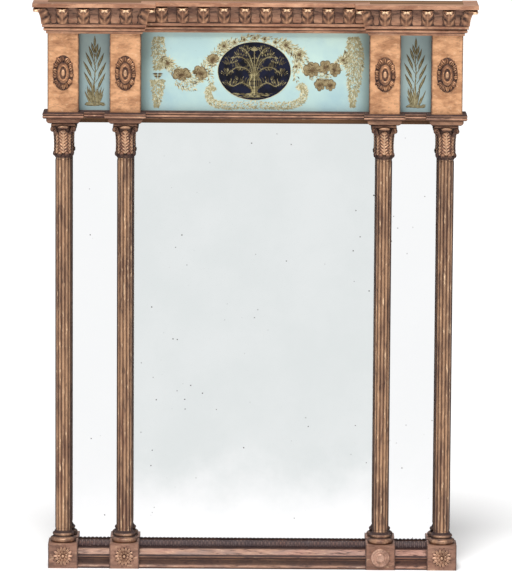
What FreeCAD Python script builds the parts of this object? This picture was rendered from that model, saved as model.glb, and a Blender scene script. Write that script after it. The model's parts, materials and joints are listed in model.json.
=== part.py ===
import FreeCAD
import Part
import math
import os

# An overmantel mirror with a painted frieze: four free columns carry an entablature in front of a wooden
# back frame that holds three mirror plates. X runs along the width, Z is up and the front faces minus Y.
# The origin is at the bottom of the wall plane, midway along the width. A depth is a distance from the wall
# plane towards the front.

# Heights, from the shelf up
plinth_height = 43.5
column_base_height = 20.0
shaft_length = 648.0
capital_height = 59.0
cap_height = 20.0
frieze_height = 134.5
cornice_height = 53.0

# Places along the width and main depths
outer_column_offset = 326.0
inner_column_offset = 220.5
frame_thickness = 24.0
plinth_width = 51.0
plinth_depth = 50.0
frieze_block_width = 53.0
frieze_block_depth = 46.0
pavilion_break = 29.0

# Clearances, and the overrun of cuts
fit_gap = 0.15
glue_gap = 0.05
plate_gap = 1.0
overrun = 5.0

# Back frame: stiles and muntins stand behind the columns, and sight edges have rebates open to the back
stile_width = 26.0
stile_top_drop = 20.0
muntin_width = 24.0
rebate_width = 6.0
lip_thickness = 4.0
bottom_rail_height = 34.0
frieze_rail_low_drop = 3.0
frieze_rail_height = 46.0
top_rail_height = 50.0
top_rail_setback = 8.0
top_rail_drop = 5.0
tenon_thickness = 8.0
tenon_length = 16.0
tenon_shoulder = 5.0

# Plates and boards
plate_thickness = 4.0
plate_block_thickness = 8.0
plate_block_width = 5.0
plate_block_length = 40.0
plate_blocks_per_edge = 3
backboard_thickness = 6.0
frieze_board_rebate = 8.0
frieze_glass_thickness = 3.0
frieze_backing_thickness = 4.0
frieze_glass_setback = 3.0
frieze_groove_depth = 4.0

# Architrave: caps over the columns and lower rails between them, both with a double reed
cap_neck_height = 9.5
cap_neck_inset = 3.5
cap_neck_flare = 2.0
cap_step = 8.5
reed_depth = 1.4
architrave_rail_height = 12.5
architrave_rail_ledge = 14.0
reed_fillet_share = 0.10
reed_quirk_share = 0.06
reed_outline_shares = ((0.0, 0.0), (0.12, 0.62), (0.36, 1.0), (0.64, 1.0), (0.88, 0.62), (1.0, 0.0))

# Cornice profile, outward from the face below and up from the foot of the cornice
foot_fillet_reach = 2.5
foot_fillet_height = 4.0
bead_reach = 7.0
bead_foot = 5.0
bead_height = 5.5
bed_fillet_reach = 9.0
bed_fillet_foot = 11.5
bed_fillet_height = 5.0
cove_foot_reach = 7.7
cove_middle_reach = 10.5
cove_head_reach = 19.0
cove_middle_height = 34.5
cove_head_height = 46.5
corona_reach = 25.0
cornice_board_thickness = 12.0
cornice_block_side = 16.0
cornice_block_length = 30.0
dust_board_thickness = 5.0

# Leaves in the cove
leaf_width = 20.0
leaf_foot = 1.0
leaf_height = 26.5
leaf_thickness = 2.4
leaf_curl_radius = 3.4
leaf_curl_reach = 20.3
leaf_curl_height = 41.8
leaf_curl_width = 11.0
corner_leaf_half_width = 9.0
centre_leaf_count = 10
centre_leaf_pitch = 35.4
pavilion_leaf_count = 4
pavilion_leaf_pitch = 36.0
return_leaf_count = 2
return_leaf_pitch = 30.0
leaf_half_outline_shares = ((0.26, 0.00), (0.48, 0.30), (0.42, 0.72), (0.26, 1.00))

# Columns
round_sides = 24
shaft_crest_radius = 14.25
shaft_valley_radius = 12.9
shaft_reeds = 14
reed_section_shares = ((0.0, 0.0), (0.18, 0.66), (0.38, 0.95), (0.62, 0.95), (0.82, 0.66))
shaft_dowel_radius = 6.0
shaft_foot_dowel = 37.0
shaft_head_dowel = 15.0
base_torus_radius = 22.8
base_neck_radius = 17.4
base_bead_radius = 18.6
base_top_radius = 16.0
base_torus_height_share = 0.24
base_neck_height_share = 0.56
base_bead_height_share = 0.70
base_shoulder_height_share = 0.86
base_foot_inset = 1.8
neck_radius = 15.2
astragal_radius = 18.6
astragal_height_share = 0.55
bell_foot_height = 9.0
bell_foot_radius = 17.0
bell_waist_radius = 17.6
bell_lip_radius = 20.0
bell_waist_share = 0.62
abacus_height = 8.0
abacus_half_width = 21.0
abacus_hollow = 3.0
abacus_corner = 5.0
volute_radius = 3.6
volute_width = 9.0
capital_dowel_radius = 5.0
capital_dowel_length = 8.0

# Base moulding between the plinth blocks, and the strip of leaf tips on it
base_setback = 3.0
base_fillet_height = 2.5
base_hollow_depth = 4.0
base_hollow_height = 15.5
base_hollow_head_setback = 1.5
base_bead_height = 4.0
base_bead_setback = 1.8
base_slope_foot_setback = 4.5
base_slope_head_setback = 23.0
base_slope_rise = 10.0
base_step_height = 2.5
leaf_strip_setback = 1.0
leaf_strip_back = 4.0
leaf_strip_height = 7.0
leaf_strip_crown_share = 0.72
leaf_strip_middle_share = 0.42

# Applied ornaments
patera_width = 36.0
patera_height = 61.0
patera_plate = 2.6
patera_ring_step = 2.0
patera_boss_step = 1.8
patera_lobes = 16
patera_ring_share = 0.56
patera_boss_share = 0.27
oval_sides = 20
rosette_radius = 17.0
rosette_plate = 2.2
rosette_tier_step = 1.6
rosette_lobes = 12
rosette_tier_share = 0.62
rosette_boss_radius = 4.2
rosette_boss_rise = 2.1
boss_crown_share = 0.55
lobe_bulge_share = 0.12
turned_boss_radius = 16.0
turned_boss_plate = 2.0
turned_boss_rim = 3.0
turned_boss_dome_radius = 9.0
turned_boss_dome_height = 4.0
turned_boss_plinth = 2

# Hangers on the back of the top rail: a plate with a knuckle, and a ring that swings in it
hanger_offset = 230.0
hanger_plate_width = 22.0
hanger_plate_height = 37.0
hanger_plate_thickness = 1.8
hanger_top_drop = 6.0
hanger_knuckle_radius = 3.4
hanger_knuckle_length = 16.0
ring_wire_radius = 1.75
ring_plate_gap = 0.35
ring_running_gap = 0.06
ring_half_width = 13.75
ring_corner_radius = 4.0
ring_leg = 8.0
ring_corner_steps = 3
ring_bow_steps = 9
ring_wire_sides = 8

# Levels and planes that follow from these
shaft_low = plinth_height + column_base_height
capital_low = shaft_low + shaft_length
cap_low = capital_low + capital_height
frieze_low = cap_low + cap_height
cornice_low = frieze_low + frieze_height
top = cornice_low + cornice_height
column_depth = frame_thickness + plinth_depth / 2
plinth_front = frame_thickness + plinth_depth
block_front = frame_thickness + frieze_block_depth
centre_front = block_front - pavilion_break
glass_front = centre_front - frieze_glass_setback
glass_back = glass_front - frieze_glass_thickness
backing_back = glass_back - frieze_backing_thickness
rail_front = glass_front + architrave_rail_ledge
block_outer = outer_column_offset + frieze_block_width / 2
block_inner = inner_column_offset - frieze_block_width / 2
lip_back = frame_thickness - lip_thickness
plate_back = lip_back - plate_thickness
board_front = plate_back - plate_block_thickness
board_back = board_front - backboard_thickness
rebate_low = bottom_rail_height - rebate_width
frieze_rail_low = cap_low - frieze_rail_low_drop
rebate_high = frieze_rail_low + rebate_width
frieze_rail_high = frieze_rail_low + frieze_rail_height
stile_high = top - stile_top_drop
top_rail_high = stile_high - top_rail_drop
top_rail_low = top_rail_high - top_rail_height
frieze_board_low = frieze_rail_high - rebate_width
frieze_board_high = top_rail_low + rebate_width
stile_inner = outer_column_offset - stile_width / 2
muntin_outer = inner_column_offset + muntin_width / 2
muntin_inner = inner_column_offset - muntin_width / 2

column_offsets = (-outer_column_offset, -inner_column_offset, inner_column_offset, outer_column_offset)
column_names = ("outer_left", "inner_left", "inner_right", "outer_right")
side_signs = (("left", -1), ("right", 1))
up = FreeCAD.Vector(0, 0, 1)
along = FreeCAD.Vector(1, 0, 0)
forward = FreeCAD.Vector(0, -1, 0)


def at(x, depth, z):
    return FreeCAD.Vector(x, -depth, z)


def block(x_low, x_high, depth_low, depth_high, z_low, z_high):
    corner = at(x_low, depth_high, z_low)
    return Part.makeBox(x_high - x_low, depth_high - depth_low, z_high - z_low, corner)


# A closed outline is a start point and its moves: a point is a straight run to it, and a pair of points is
# an arc through the first to the second.
def outline_face(moves, place):
    here = place(*moves[0])
    start = here
    edges = []
    for move in moves[1:]:
        if isinstance(move[0], tuple):
            middle = place(*move[0])
            end = place(*move[1])
            edges.append(Part.Arc(here, middle, end).toShape())
        else:
            end = place(*move)
            edges.append(Part.makeLine(here, end))
        here = end
    if here.distanceToPoint(start) > glue_gap:
        edges.append(Part.makeLine(here, start))
    return Part.Face(Part.Wire(edges))


def section_along_x(moves, x_low, x_high):
    face = outline_face(moves, lambda depth, z: at(x_low, depth, z))
    return face.extrude(along * (x_high - x_low))


def plan_along_z(moves, z_low, z_high):
    face = outline_face(moves, lambda x, depth: at(x, depth, z_low))
    return face.extrude(up * (z_high - z_low))


def turned(moves):
    face = outline_face(moves, lambda radius, height: at(radius, 0, height))
    return face.revolve(at(0, 0, 0), up, 360)


# A bar of eight sides: dowels and their holes, and the stock of scrolls and curls
def dowel(radius, low, high):
    eighth = math.pi / 4
    turns = [i * eighth for i in range(8)]
    corners = [FreeCAD.Vector(radius * math.cos(turn), radius * math.sin(turn), low) for turn in turns]
    return Part.Face(Part.makePolygon(corners + corners[:1])).extrude(up * (high - low))


# A round body of many flats, from its radius and height at each level
def many_sided(levels):
    turns = [2 * math.pi * index / round_sides for index in range(round_sides)]
    rings = []
    for radius, height in levels:
        ring = [FreeCAD.Vector(radius * math.cos(turn), radius * math.sin(turn), height) for turn in turns]
        rings.append(ring + ring[:1])
    outlines = [rings[0], rings[-1]]
    for lower, upper in zip(rings, rings[1:]):
        for here in range(round_sides):
            beside = here + 1
            outlines.append([lower[here], lower[beside], upper[beside], upper[here], lower[here]])
    return Part.Solid(Part.Shell([Part.Face(Part.makePolygon(outline)) for outline in outlines]))


def moved(shape, x, depth, z):
    copy = shape.copy()
    copy.translate(at(x, depth, z))
    return copy


def rod(x, depth, z, radius, length, direction):
    return Part.makeCylinder(radius, length, at(x, depth, z), direction)


def fused(first, *others):
    return first.fuse(list(others)).removeSplitter()


def save(name, *shapes):
    shape = shapes[0] if len(shapes) == 1 else Part.makeCompound(list(shapes))
    shape.exportStep("parts/" + name + ".step")
    print(name, len(shape.Solids), round(shape.Volume))


# Back frame

tenon_low_depth = (frame_thickness - tenon_thickness) / 2
tenon_high_depth = tenon_low_depth + tenon_thickness
rail_spans = (
    (0.0, rebate_low),
    (rebate_high, frieze_board_low),
    (frieze_board_high, top_rail_high),
)


def rail_tenon(side, span, gap):
    low = span[0] + tenon_shoulder - gap
    high = span[1] - tenon_shoulder + gap
    ends = sorted((side * stile_inner, side * (stile_inner + tenon_length + gap)))
    return block(*ends, tenon_low_depth - gap, tenon_high_depth + gap, low, high)


def muntin_tenon(x, low, high, gap):
    half = muntin_width / 2 - rebate_width
    return block(x - half - gap, x + half + gap, tenon_low_depth - gap, tenon_high_depth + gap, low, high)


def make_frame():
    for name, side in side_signs:
        inner = side * stile_inner
        stile = block(*sorted((inner, inner + side * stile_width)), 0, frame_thickness, 0, stile_high)
        rebate_edges = sorted((inner - side * overrun, inner + side * rebate_width))
        rebate = block(*rebate_edges, -overrun, lip_back, rebate_low, rebate_high)
        board_levels = (frieze_board_low, frieze_board_high)
        board_rebate = block(*rebate_edges, -overrun, frieze_board_rebate, *board_levels)
        mortises = [rail_tenon(side, span, fit_gap) for span in rail_spans]
        save(name + "_stile", stile.cut([rebate, board_rebate] + mortises))
        save(name + "_muntin", make_muntin(side * inner_column_offset))
    save("bottom_rail", make_bottom_rail())
    save("frieze_rail", make_frieze_rail())
    top_depths = (top_rail_setback, frame_thickness)
    top_rail = block(-stile_inner, stile_inner, *top_depths, top_rail_low, top_rail_high)
    tenons = [rail_tenon(side, rail_spans[2], 0) for _, side in side_signs]
    save("top_rail", fused(top_rail, *tenons))


def make_muntin(x):
    half_web = muntin_width / 2 - rebate_width
    face_half = muntin_width / 2
    web = block(x - half_web, x + half_web, 0, lip_back, rebate_low, rebate_high)
    face_levels = (bottom_rail_height, frieze_rail_low)
    face = block(x - face_half, x + face_half, lip_back, frame_thickness, *face_levels)
    foot = muntin_tenon(x, rebate_low - tenon_length, rebate_low, 0)
    head = muntin_tenon(x, rebate_high, rebate_high + tenon_length, 0)
    return fused(web, face, foot, head)


def make_bottom_rail():
    rail = block(-stile_inner, stile_inner, 0, frame_thickness, 0, rebate_low)
    lip = block(-stile_inner, stile_inner, lip_back, frame_thickness, rebate_low, bottom_rail_height)
    tenons = [rail_tenon(side, rail_spans[0], 0) for _, side in side_signs]
    rail = fused(rail, lip, *tenons)
    mortise_low = rebate_low - tenon_length - fit_gap
    return rail.cut(
        [muntin_tenon(s * inner_column_offset, mortise_low, rebate_low, fit_gap) for _, s in side_signs]
    )


def make_frieze_rail():
    rail = block(-stile_inner, stile_inner, 0, frame_thickness, rebate_high, frieze_board_low)
    lip = block(-stile_inner, stile_inner, lip_back, frame_thickness, frieze_rail_low, rebate_high)
    ledge = block(
        -stile_inner, stile_inner, frieze_board_rebate, frame_thickness, frieze_board_low, frieze_rail_high
    )
    tenons = [rail_tenon(side, rail_spans[1], 0) for _, side in side_signs]
    rail = fused(rail, lip, ledge, *tenons)
    mortise_high = rebate_high + tenon_length + fit_gap
    return rail.cut(
        [muntin_tenon(s * inner_column_offset, rebate_high, mortise_high, fit_gap) for _, s in side_signs]
    )


# Mirror plates, their glue blocks and the boards behind them

side_opening = (muntin_outer - rebate_width, stile_inner + rebate_width)
centre_opening = (-muntin_inner - rebate_width, muntin_inner + rebate_width)
openings = (
    ("left", (-side_opening[1], -side_opening[0])),
    ("centre", centre_opening),
    ("right", side_opening),
)


def make_plates():
    plate_blocks = []
    block_step = (rebate_high - rebate_low) / plate_blocks_per_edge
    for name, (x_low, x_high) in openings:
        edges = (x_low + plate_gap, x_high - plate_gap)
        levels = (rebate_low + plate_gap, rebate_high - plate_gap)
        save(name + "_mirror_plate", block(*edges, plate_back, lip_back, *levels))
        save(name + "_backboard", block(*edges, board_back, board_front, *levels))
        for index in range(plate_blocks_per_edge):
            z = rebate_low + (index + 0.5) * block_step
            z_span = (z - plate_block_length / 2, z + plate_block_length / 2)
            for x in (x_low + glue_gap, x_high - plate_block_width - glue_gap):
                plate_blocks.append(block(x, x + plate_block_width, board_front, plate_back, *z_span))
    save("plate_blocks", *plate_blocks)
    half = stile_inner + rebate_width - plate_gap
    board_back_depth = frieze_board_rebate - backboard_thickness
    levels = (frieze_board_low + plate_gap, frieze_board_high - plate_gap)
    save("frieze_backboard", block(-half, half, board_back_depth, frieze_board_rebate, *levels))


# Plinth blocks, base mouldings and columns


def make_plinths():
    for name, x in zip(column_names, column_offsets):
        half = plinth_width / 2
        body = block(x - half, x + half, frame_thickness, plinth_front, 0, plinth_height)
        socket_depth = shaft_foot_dowel - column_base_height + fit_gap
        socket = dowel(shaft_dowel_radius + fit_gap, -socket_depth, 0)
        save(name + "_plinth_block", body.cut(moved(socket, x, column_depth, plinth_height)))


def base_section():
    front = plinth_front - base_setback
    hollow_high = base_fillet_height + base_hollow_height
    hollow_middle = base_fillet_height + base_hollow_height / 2
    bead_back = front - base_bead_setback
    bead_high = hollow_high + base_bead_height
    slope_high = bead_high + base_slope_rise
    step_high = slope_high + base_step_height
    head = front - base_slope_head_setback
    return (
        (frame_thickness, 0),
        (front, 0),
        (front, base_fillet_height),
        ((front - base_hollow_depth, hollow_middle), (front - base_hollow_head_setback, hollow_high)),
        (bead_back, hollow_high),
        ((front, hollow_high + base_bead_height / 2), (bead_back, bead_high)),
        (front - base_slope_foot_setback, bead_high),
        (head, slope_high),
        (head, step_high),
        (frame_thickness, step_high),
    )


def leaf_strip_section():
    front = plinth_front - base_setback - base_slope_head_setback - leaf_strip_setback
    back = frame_thickness + leaf_strip_back
    low = base_section()[-1][1]
    middle_depth = back + (front - back) * leaf_strip_middle_share
    middle_level = low + leaf_strip_height * leaf_strip_crown_share
    return ((back, low), (front, low), ((middle_depth, middle_level), (back, low + leaf_strip_height)))


def make_base():
    outer_edge = outer_column_offset - plinth_width / 2
    inner_edge = inner_column_offset + plinth_width / 2
    centre_edge = inner_column_offset - plinth_width / 2
    spans = (
        ("left", (-outer_edge, -inner_edge)),
        ("centre", (-centre_edge, centre_edge)),
        ("right", (inner_edge, outer_edge)),
    )
    for name, span in spans:
        save(name + "_base_moulding", section_along_x(base_section(), *span))
    save("leaf_strips", *[section_along_x(leaf_strip_section(), *span) for _, span in spans])


def reeded_face():
    step = 2 * math.pi / shaft_reeds
    points = []
    for index in range(shaft_reeds):
        for turn_share, rise_share in reed_section_shares:
            angle = (index + turn_share) * step
            radius = shaft_valley_radius + rise_share * (shaft_crest_radius - shaft_valley_radius)
            points.append((radius * math.cos(angle), radius * math.sin(angle)))
    return outline_face(points, lambda x, y: FreeCAD.Vector(x, y, 0))


def make_shaft(x):
    reeds = reeded_face().extrude(up * shaft_length)
    foot = dowel(shaft_dowel_radius, -shaft_foot_dowel, 0)
    head = dowel(shaft_dowel_radius, shaft_length, shaft_length + shaft_head_dowel)
    return moved(fused(reeds, foot, head), x, column_depth, shaft_low)


# A base is a full round, a hollow and a smaller round, each between slopes
def make_column_base(x):
    levels = (
        (base_torus_radius - base_foot_inset, 0),
        (base_torus_radius, column_base_height * base_torus_height_share),
        (base_neck_radius, column_base_height * base_neck_height_share),
        (base_bead_radius, column_base_height * base_bead_height_share),
        (base_top_radius, column_base_height * base_shoulder_height_share),
        (base_top_radius, column_base_height),
    )
    bore = dowel(shaft_dowel_radius + fit_gap, 0, column_base_height)
    return moved(many_sided(levels).cut(bore), x, column_depth, plinth_height)


bell_low = bell_foot_height
bell_high = capital_height - abacus_height


def make_abacus():
    half = abacus_half_width
    corner = half - abacus_corner
    hollow = half - abacus_hollow
    moves = [(half, -corner)]
    for quarter in range(4):
        turn = quarter * math.pi / 2
        points = []
        for x, y in ((hollow, 0.0), (half, corner), (corner, half)):
            turned_x = x * math.cos(turn) - y * math.sin(turn)
            turned_y = x * math.sin(turn) + y * math.cos(turn)
            points.append((turned_x, turned_y))
        moves.append((points[0], points[1]))
        moves.append(points[2])
    face = outline_face(moves, lambda x, y: FreeCAD.Vector(x, y, bell_high))
    return face.extrude(up * abacus_height)


def make_capital(x):
    waist = bell_low + (bell_high - bell_low) * bell_waist_share
    levels = (
        (neck_radius, 0),
        (astragal_radius, bell_low * astragal_height_share),
        (bell_foot_radius, bell_low),
        (bell_waist_radius, waist),
        (bell_lip_radius, bell_high),
    )
    volute_reach = bell_lip_radius + volute_radius + fit_gap
    volutes = []
    for quarter in range(4):
        volute = dowel(volute_radius, -volute_width / 2, volute_width / 2)
        volute.rotate(FreeCAD.Vector(), FreeCAD.Vector(0, 1, 0), 90)
        volute = moved(volute, 0, volute_reach, bell_high)
        above = block(-volute_width, volute_width, 0, 2 * capital_height, bell_high, capital_height)
        volute = volute.cut(above)
        volute.rotate(FreeCAD.Vector(), up, 45 + 90 * quarter)
        volutes.append(volute)
    capital = fused(many_sided(levels), make_abacus(), *volutes)
    head = dowel(capital_dowel_radius, capital_height, capital_height + capital_dowel_length)
    bore = dowel(shaft_dowel_radius + fit_gap, 0, shaft_head_dowel + fit_gap)
    return moved(fused(capital, head).cut(bore), x, column_depth, capital_low)


def make_columns():
    for name, x in zip(column_names, column_offsets):
        save(name + "_shaft", make_shaft(x))
    save("column_bases", *[make_column_base(x) for x in column_offsets])
    save("capitals", *[make_capital(x) for x in column_offsets])


# Architrave


def double_reed(base, low, high):
    height = high - low
    fillet = height * reed_fillet_share
    quirk = height * reed_quirk_share
    reed = (height - 2 * fillet - quirk) / 2
    moves = [(base, low)]
    for foot in (low + fillet, low + fillet + reed + quirk):
        for rise_share, reach_share in reed_outline_shares:
            moves.append((base + reed_depth * reach_share, foot + reed * rise_share))
    moves.append((base, high))
    return tuple(moves)


def cap_side(face):
    neck_high = cap_low + cap_neck_height
    neck_foot = face - cap_neck_inset
    neck_head = face + cap_neck_flare
    swell = (neck_head, cap_low + cap_neck_height / 2)
    moulded = double_reed(face + cap_step - reed_depth, neck_high, frieze_low)
    return ((neck_foot, cap_low), (swell, (neck_head, neck_high))) + moulded


def make_cap(x):
    half = frieze_block_width / 2 + cap_step
    front_moves = ((frame_thickness, cap_low),) + cap_side(block_front) + ((frame_thickness, frieze_low),)
    front = section_along_x(front_moves, x - half, x + half)
    side_moves = ((0, cap_low),) + cap_side(frieze_block_width / 2) + ((0, frieze_low),)
    side_face = outline_face(side_moves, lambda reach, z: at(x + reach, frame_thickness, z))
    right = side_face.extrude(forward * (plinth_front + cap_step))
    left = right.mirror(at(x, 0, 0), along)
    socket = dowel(capital_dowel_radius + fit_gap, 0, capital_dowel_length + fit_gap)
    return front.common(fused(right, left)).cut(moved(socket, x, column_depth, cap_low))


def make_architrave():
    cap_half = frieze_block_width / 2 + cap_step - reed_depth
    rail_low = frieze_low - architrave_rail_height
    section = (
        ((frame_thickness, rail_low),)
        + double_reed(rail_front - reed_depth, rail_low, frieze_low)
        + ((frame_thickness, frieze_low),)
    )
    spans = (
        ("left", (-outer_column_offset, -inner_column_offset)),
        ("centre", (-inner_column_offset, inner_column_offset)),
        ("right", (inner_column_offset, outer_column_offset)),
    )
    caps = [make_cap(x) for x in column_offsets]
    for name, (x_low, x_high) in spans:
        rail = section_along_x(section, x_low + cap_half - reed_depth, x_high - cap_half + reed_depth)
        rail = rail.cut(caps)
        save(name + "_architrave_rail", max(rail.Solids, key=lambda solid: solid.Volume))
    for name, cap in zip(column_names, caps):
        save(name + "_architrave_cap", cap)


# Frieze


def make_frieze():
    groove_low = backing_back - fit_gap
    groove_high = glass_front + fit_gap
    half = frieze_block_width / 2
    groove_reach = half - frieze_groove_depth
    for name, x in zip(column_names, column_offsets):
        body = block(x - half, x + half, frame_thickness, block_front, frieze_low, cornice_low)
        grooves = []
        sides = (-1, 1) if name.startswith("inner") else ((1,) if x < 0 else (-1,))
        for side in sides:
            ends = sorted((x + side * groove_reach, x + side * (half + overrun)))
            groove_levels = (frieze_low - overrun, cornice_low + overrun)
            grooves.append(block(*ends, groove_low, groove_high, *groove_levels))
        save(name + "_frieze_block", body.cut(grooves))
    tongue = frieze_groove_depth - fit_gap
    side_span = (inner_column_offset + half - tongue, outer_column_offset - half + tongue)
    spans = (
        ("left", (-side_span[1], -side_span[0])),
        ("centre", (-block_inner - tongue, block_inner + tongue)),
        ("right", side_span),
    )
    levels = (frieze_low, cornice_low)
    for name, span in spans:
        save(name + "_frieze_glass", block(*span, glass_back, glass_front, *levels))
    save("frieze_backing", *[block(*span, backing_back, glass_back, *levels) for _, span in spans])


# Cornice: lengths of one profile, mitred round the plan of the two pavilions and the centre between them

cornice_profile = (
    (0, 0),
    (foot_fillet_reach, 0),
    (foot_fillet_reach, foot_fillet_height),
    (foot_fillet_reach, bead_foot),
    ((bead_reach, bead_foot + bead_height / 2), (foot_fillet_reach, bead_foot + bead_height)),
    (foot_fillet_reach, bed_fillet_foot),
    (bed_fillet_reach, bed_fillet_foot),
    (bed_fillet_reach, bed_fillet_foot + bed_fillet_height),
    (cove_foot_reach, bed_fillet_foot + bed_fillet_height),
    ((cove_middle_reach, cove_middle_height), (cove_head_reach, cove_head_height)),
    (corona_reach, cove_head_height),
    (corona_reach, cornice_height),
    (0, cornice_height),
)
cove_foot = bed_fillet_foot + bed_fillet_height
leaf_skin_profile = (
    (cove_foot_reach + glue_gap, cove_foot),
    (
        (cove_middle_reach + glue_gap, cove_middle_height),
        (cove_head_reach + glue_gap, cove_head_height - glue_gap),
    ),
    (cove_head_reach + leaf_thickness, cove_head_height - glue_gap),
    (cove_middle_reach + leaf_thickness, cove_middle_height),
    (cove_foot_reach + leaf_thickness, cove_foot),
)
outward = 1
inward = -1
square = 0


# A length of moulding lies along X with its back at zero depth. At each end it turns an outward corner, an
# inward corner, or stops square.
def moulding(profile, length, start_turn, end_turn):
    reach = corona_reach + overrun
    body = section_along_x(profile, -reach - overrun, length + reach + overrun)
    plan = plan_along_z(
        (
            (start_turn * overrun, -overrun),
            (-start_turn * reach, reach),
            (length + end_turn * reach, reach),
            (length - end_turn * overrun, -overrun),
        ),
        -overrun,
        cornice_height + overrun,
    )
    return body.common(plan)


# Each run of the cornice: where it starts, which way it faces, its length and its two ends
front_turn = 0
right_turn = 90
left_turn = -90
pavilion_width = block_outer - block_inner
runs = {
    "cornice_centre": (-block_inner, centre_front, front_turn, 2 * block_inner, inward, inward),
    "cornice_left_front": (-block_outer, block_front, front_turn, pavilion_width, outward, outward),
    "cornice_right_front": (block_inner, block_front, front_turn, pavilion_width, outward, outward),
    "left_inner": (-block_inner, block_front, right_turn, pavilion_break, outward, inward),
    "right_inner": (block_inner, centre_front, left_turn, pavilion_break, inward, outward),
    "left_outer": (-block_outer, 0.0, left_turn, block_front, square, outward),
    "right_outer": (block_outer, block_front, right_turn, block_front, outward, square),
}


def placed(shape, run, shift):
    copy = shape.copy()
    copy.translate(along * shift)
    copy.rotate(FreeCAD.Vector(), up, run[2])
    copy.translate(at(run[0], run[1], cornice_low))
    return copy


def make_leaf():
    low = cove_foot + leaf_foot
    right = [(leaf_width * across, low + leaf_height * rise) for across, rise in leaf_half_outline_shares]
    left = [(-x, z) for x, z in reversed(right)]
    blade = outline_face(right + left, lambda x, z: at(x, 0, z)).extrude(forward * (corona_reach + overrun))
    skin = section_along_x(leaf_skin_profile, -leaf_width, leaf_width)
    curl = dowel(leaf_curl_radius, -leaf_curl_width / 2, leaf_curl_width / 2)
    curl.rotate(FreeCAD.Vector(), FreeCAD.Vector(0, 1, 0), 90)
    return fused(blade.common(skin), moved(curl, 0, leaf_curl_reach, leaf_curl_height))


def row_of_leaves(run, count, pitch):
    leaf = make_leaf()
    middle = run[3] / 2
    return [placed(leaf, run, middle + (index - (count - 1) / 2) * pitch) for index in range(count)]


def corner_leaves():
    half = corner_leaf_half_width
    starting = moulding(leaf_skin_profile, half, outward, inward)
    ending = moulding(leaf_skin_profile, half, inward, outward)
    nose = dowel(leaf_curl_radius, -leaf_curl_radius, leaf_curl_radius)
    nose = moved(nose, -leaf_curl_reach, leaf_curl_reach, leaf_curl_height)
    corners = (
        ("cornice_left_front", "left_outer", "start"),
        ("cornice_left_front", "left_inner", "end"),
        ("cornice_right_front", "right_inner", "start"),
        ("cornice_right_front", "right_outer", "end"),
    )
    made = []
    for front_name, return_name, end in corners:
        front_run = runs[front_name]
        return_run = runs[return_name]
        if end == "start":
            front_half = placed(starting, front_run, 0)
            return_half = placed(ending, return_run, return_run[3] - half)
            tip = placed(nose, front_run, 0)
        else:
            front_half = placed(ending, front_run, front_run[3] - half)
            return_half = placed(starting, return_run, 0)
            tip = placed(nose, return_run, 0)
        made.append(fused(front_half, return_half, tip))
    return made


def make_cornice():
    made = {name: placed(moulding(cornice_profile, *run[3:]), run, 0) for name, run in runs.items()}
    for name in ("cornice_centre", "cornice_left_front", "cornice_right_front"):
        save(name, made[name])
    save("cornice_inner_returns", made["left_inner"], made["right_inner"])
    save("cornice_outer_returns", made["left_outer"], made["right_outer"])
    leaves = row_of_leaves(runs["cornice_centre"], centre_leaf_count, centre_leaf_pitch)
    for name in ("cornice_left_front", "cornice_right_front"):
        leaves += row_of_leaves(runs[name], pavilion_leaf_count, pavilion_leaf_pitch)
    for name in ("left_outer", "right_outer"):
        leaves += row_of_leaves(runs[name], return_leaf_count, return_leaf_pitch)
    leaves += corner_leaves()
    save("cornice_leaves", *leaves)
    board_high = cornice_low + cornice_board_thickness
    save("cornice_board", entablature_board(frame_thickness, cornice_low, board_high))
    save("dust_board", entablature_board(top_rail_setback, top - dust_board_thickness, top))
    save("cornice_glue_blocks", *make_glue_blocks())


# A board that fills the plan of the entablature, from a given depth at its back
def entablature_board(back, low, high):
    plan = (
        (-block_outer, back),
        (-block_outer, block_front),
        (-block_inner, block_front),
        (-block_inner, centre_front),
        (block_inner, centre_front),
        (block_inner, block_front),
        (block_outer, block_front),
        (block_outer, back),
    )
    return plan_along_z(plan, low, high)


def make_glue_blocks():
    levels = (cornice_low + cornice_board_thickness, top - dust_board_thickness)
    half = cornice_block_length / 2
    centres = [(x, centre_front) for x in (-block_inner / 2, 0.0, block_inner / 2)]
    for side in (-1, 1):
        centres += [(side * inner_column_offset, block_front), (side * outer_column_offset, block_front)]
    return [block(x - half, x + half, front - cornice_block_side, front, *levels) for x, front in centres]


# Applied ornaments: each lies flat on the front of its block


def lobed_plate(x, z, half_width, half_height, lobes, front, thickness):
    step = math.pi / lobes
    points = []
    for index in range(2 * lobes):
        stretch = 1 if index % 2 else 1 + lobe_bulge_share
        angle = index * step
        points.append((stretch * half_width * math.cos(angle), stretch * half_height * math.sin(angle)))
    face = outline_face(points, lambda reach, rise: at(x + reach, front, z + rise))
    return face.extrude(forward * thickness)


def oval_plate(x, z, half_width, half_height, front, thickness):
    step = 2 * math.pi / oval_sides
    turns = [index * step for index in range(oval_sides)]
    points = [(half_width * math.cos(turn), half_height * math.sin(turn)) for turn in turns]
    face = outline_face(points, lambda reach, rise: at(x + reach, front, z + rise))
    return face.extrude(forward * thickness)


def make_patera(x):
    z = (frieze_low + cornice_low) / 2
    half_width = patera_width / 2 / (1 + lobe_bulge_share)
    half_height = patera_height / 2 / (1 + lobe_bulge_share)
    plate = lobed_plate(x, z, half_width, half_height, patera_lobes, block_front, patera_plate)
    ring = oval_plate(
        x,
        z,
        half_width * patera_ring_share,
        half_height * patera_ring_share,
        block_front,
        patera_plate + patera_ring_step,
    )
    boss = oval_plate(
        x,
        z,
        half_width * patera_boss_share,
        half_height * patera_boss_share,
        block_front,
        patera_plate + patera_ring_step + patera_boss_step,
    )
    return fused(plate, ring, boss)


# The side of a low boss from its rim to its flat crown, in radius and height
def low_boss(radius, foot, rise):
    return ((radius, foot), (radius * boss_crown_share, foot + rise), (0, foot + rise))


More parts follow.
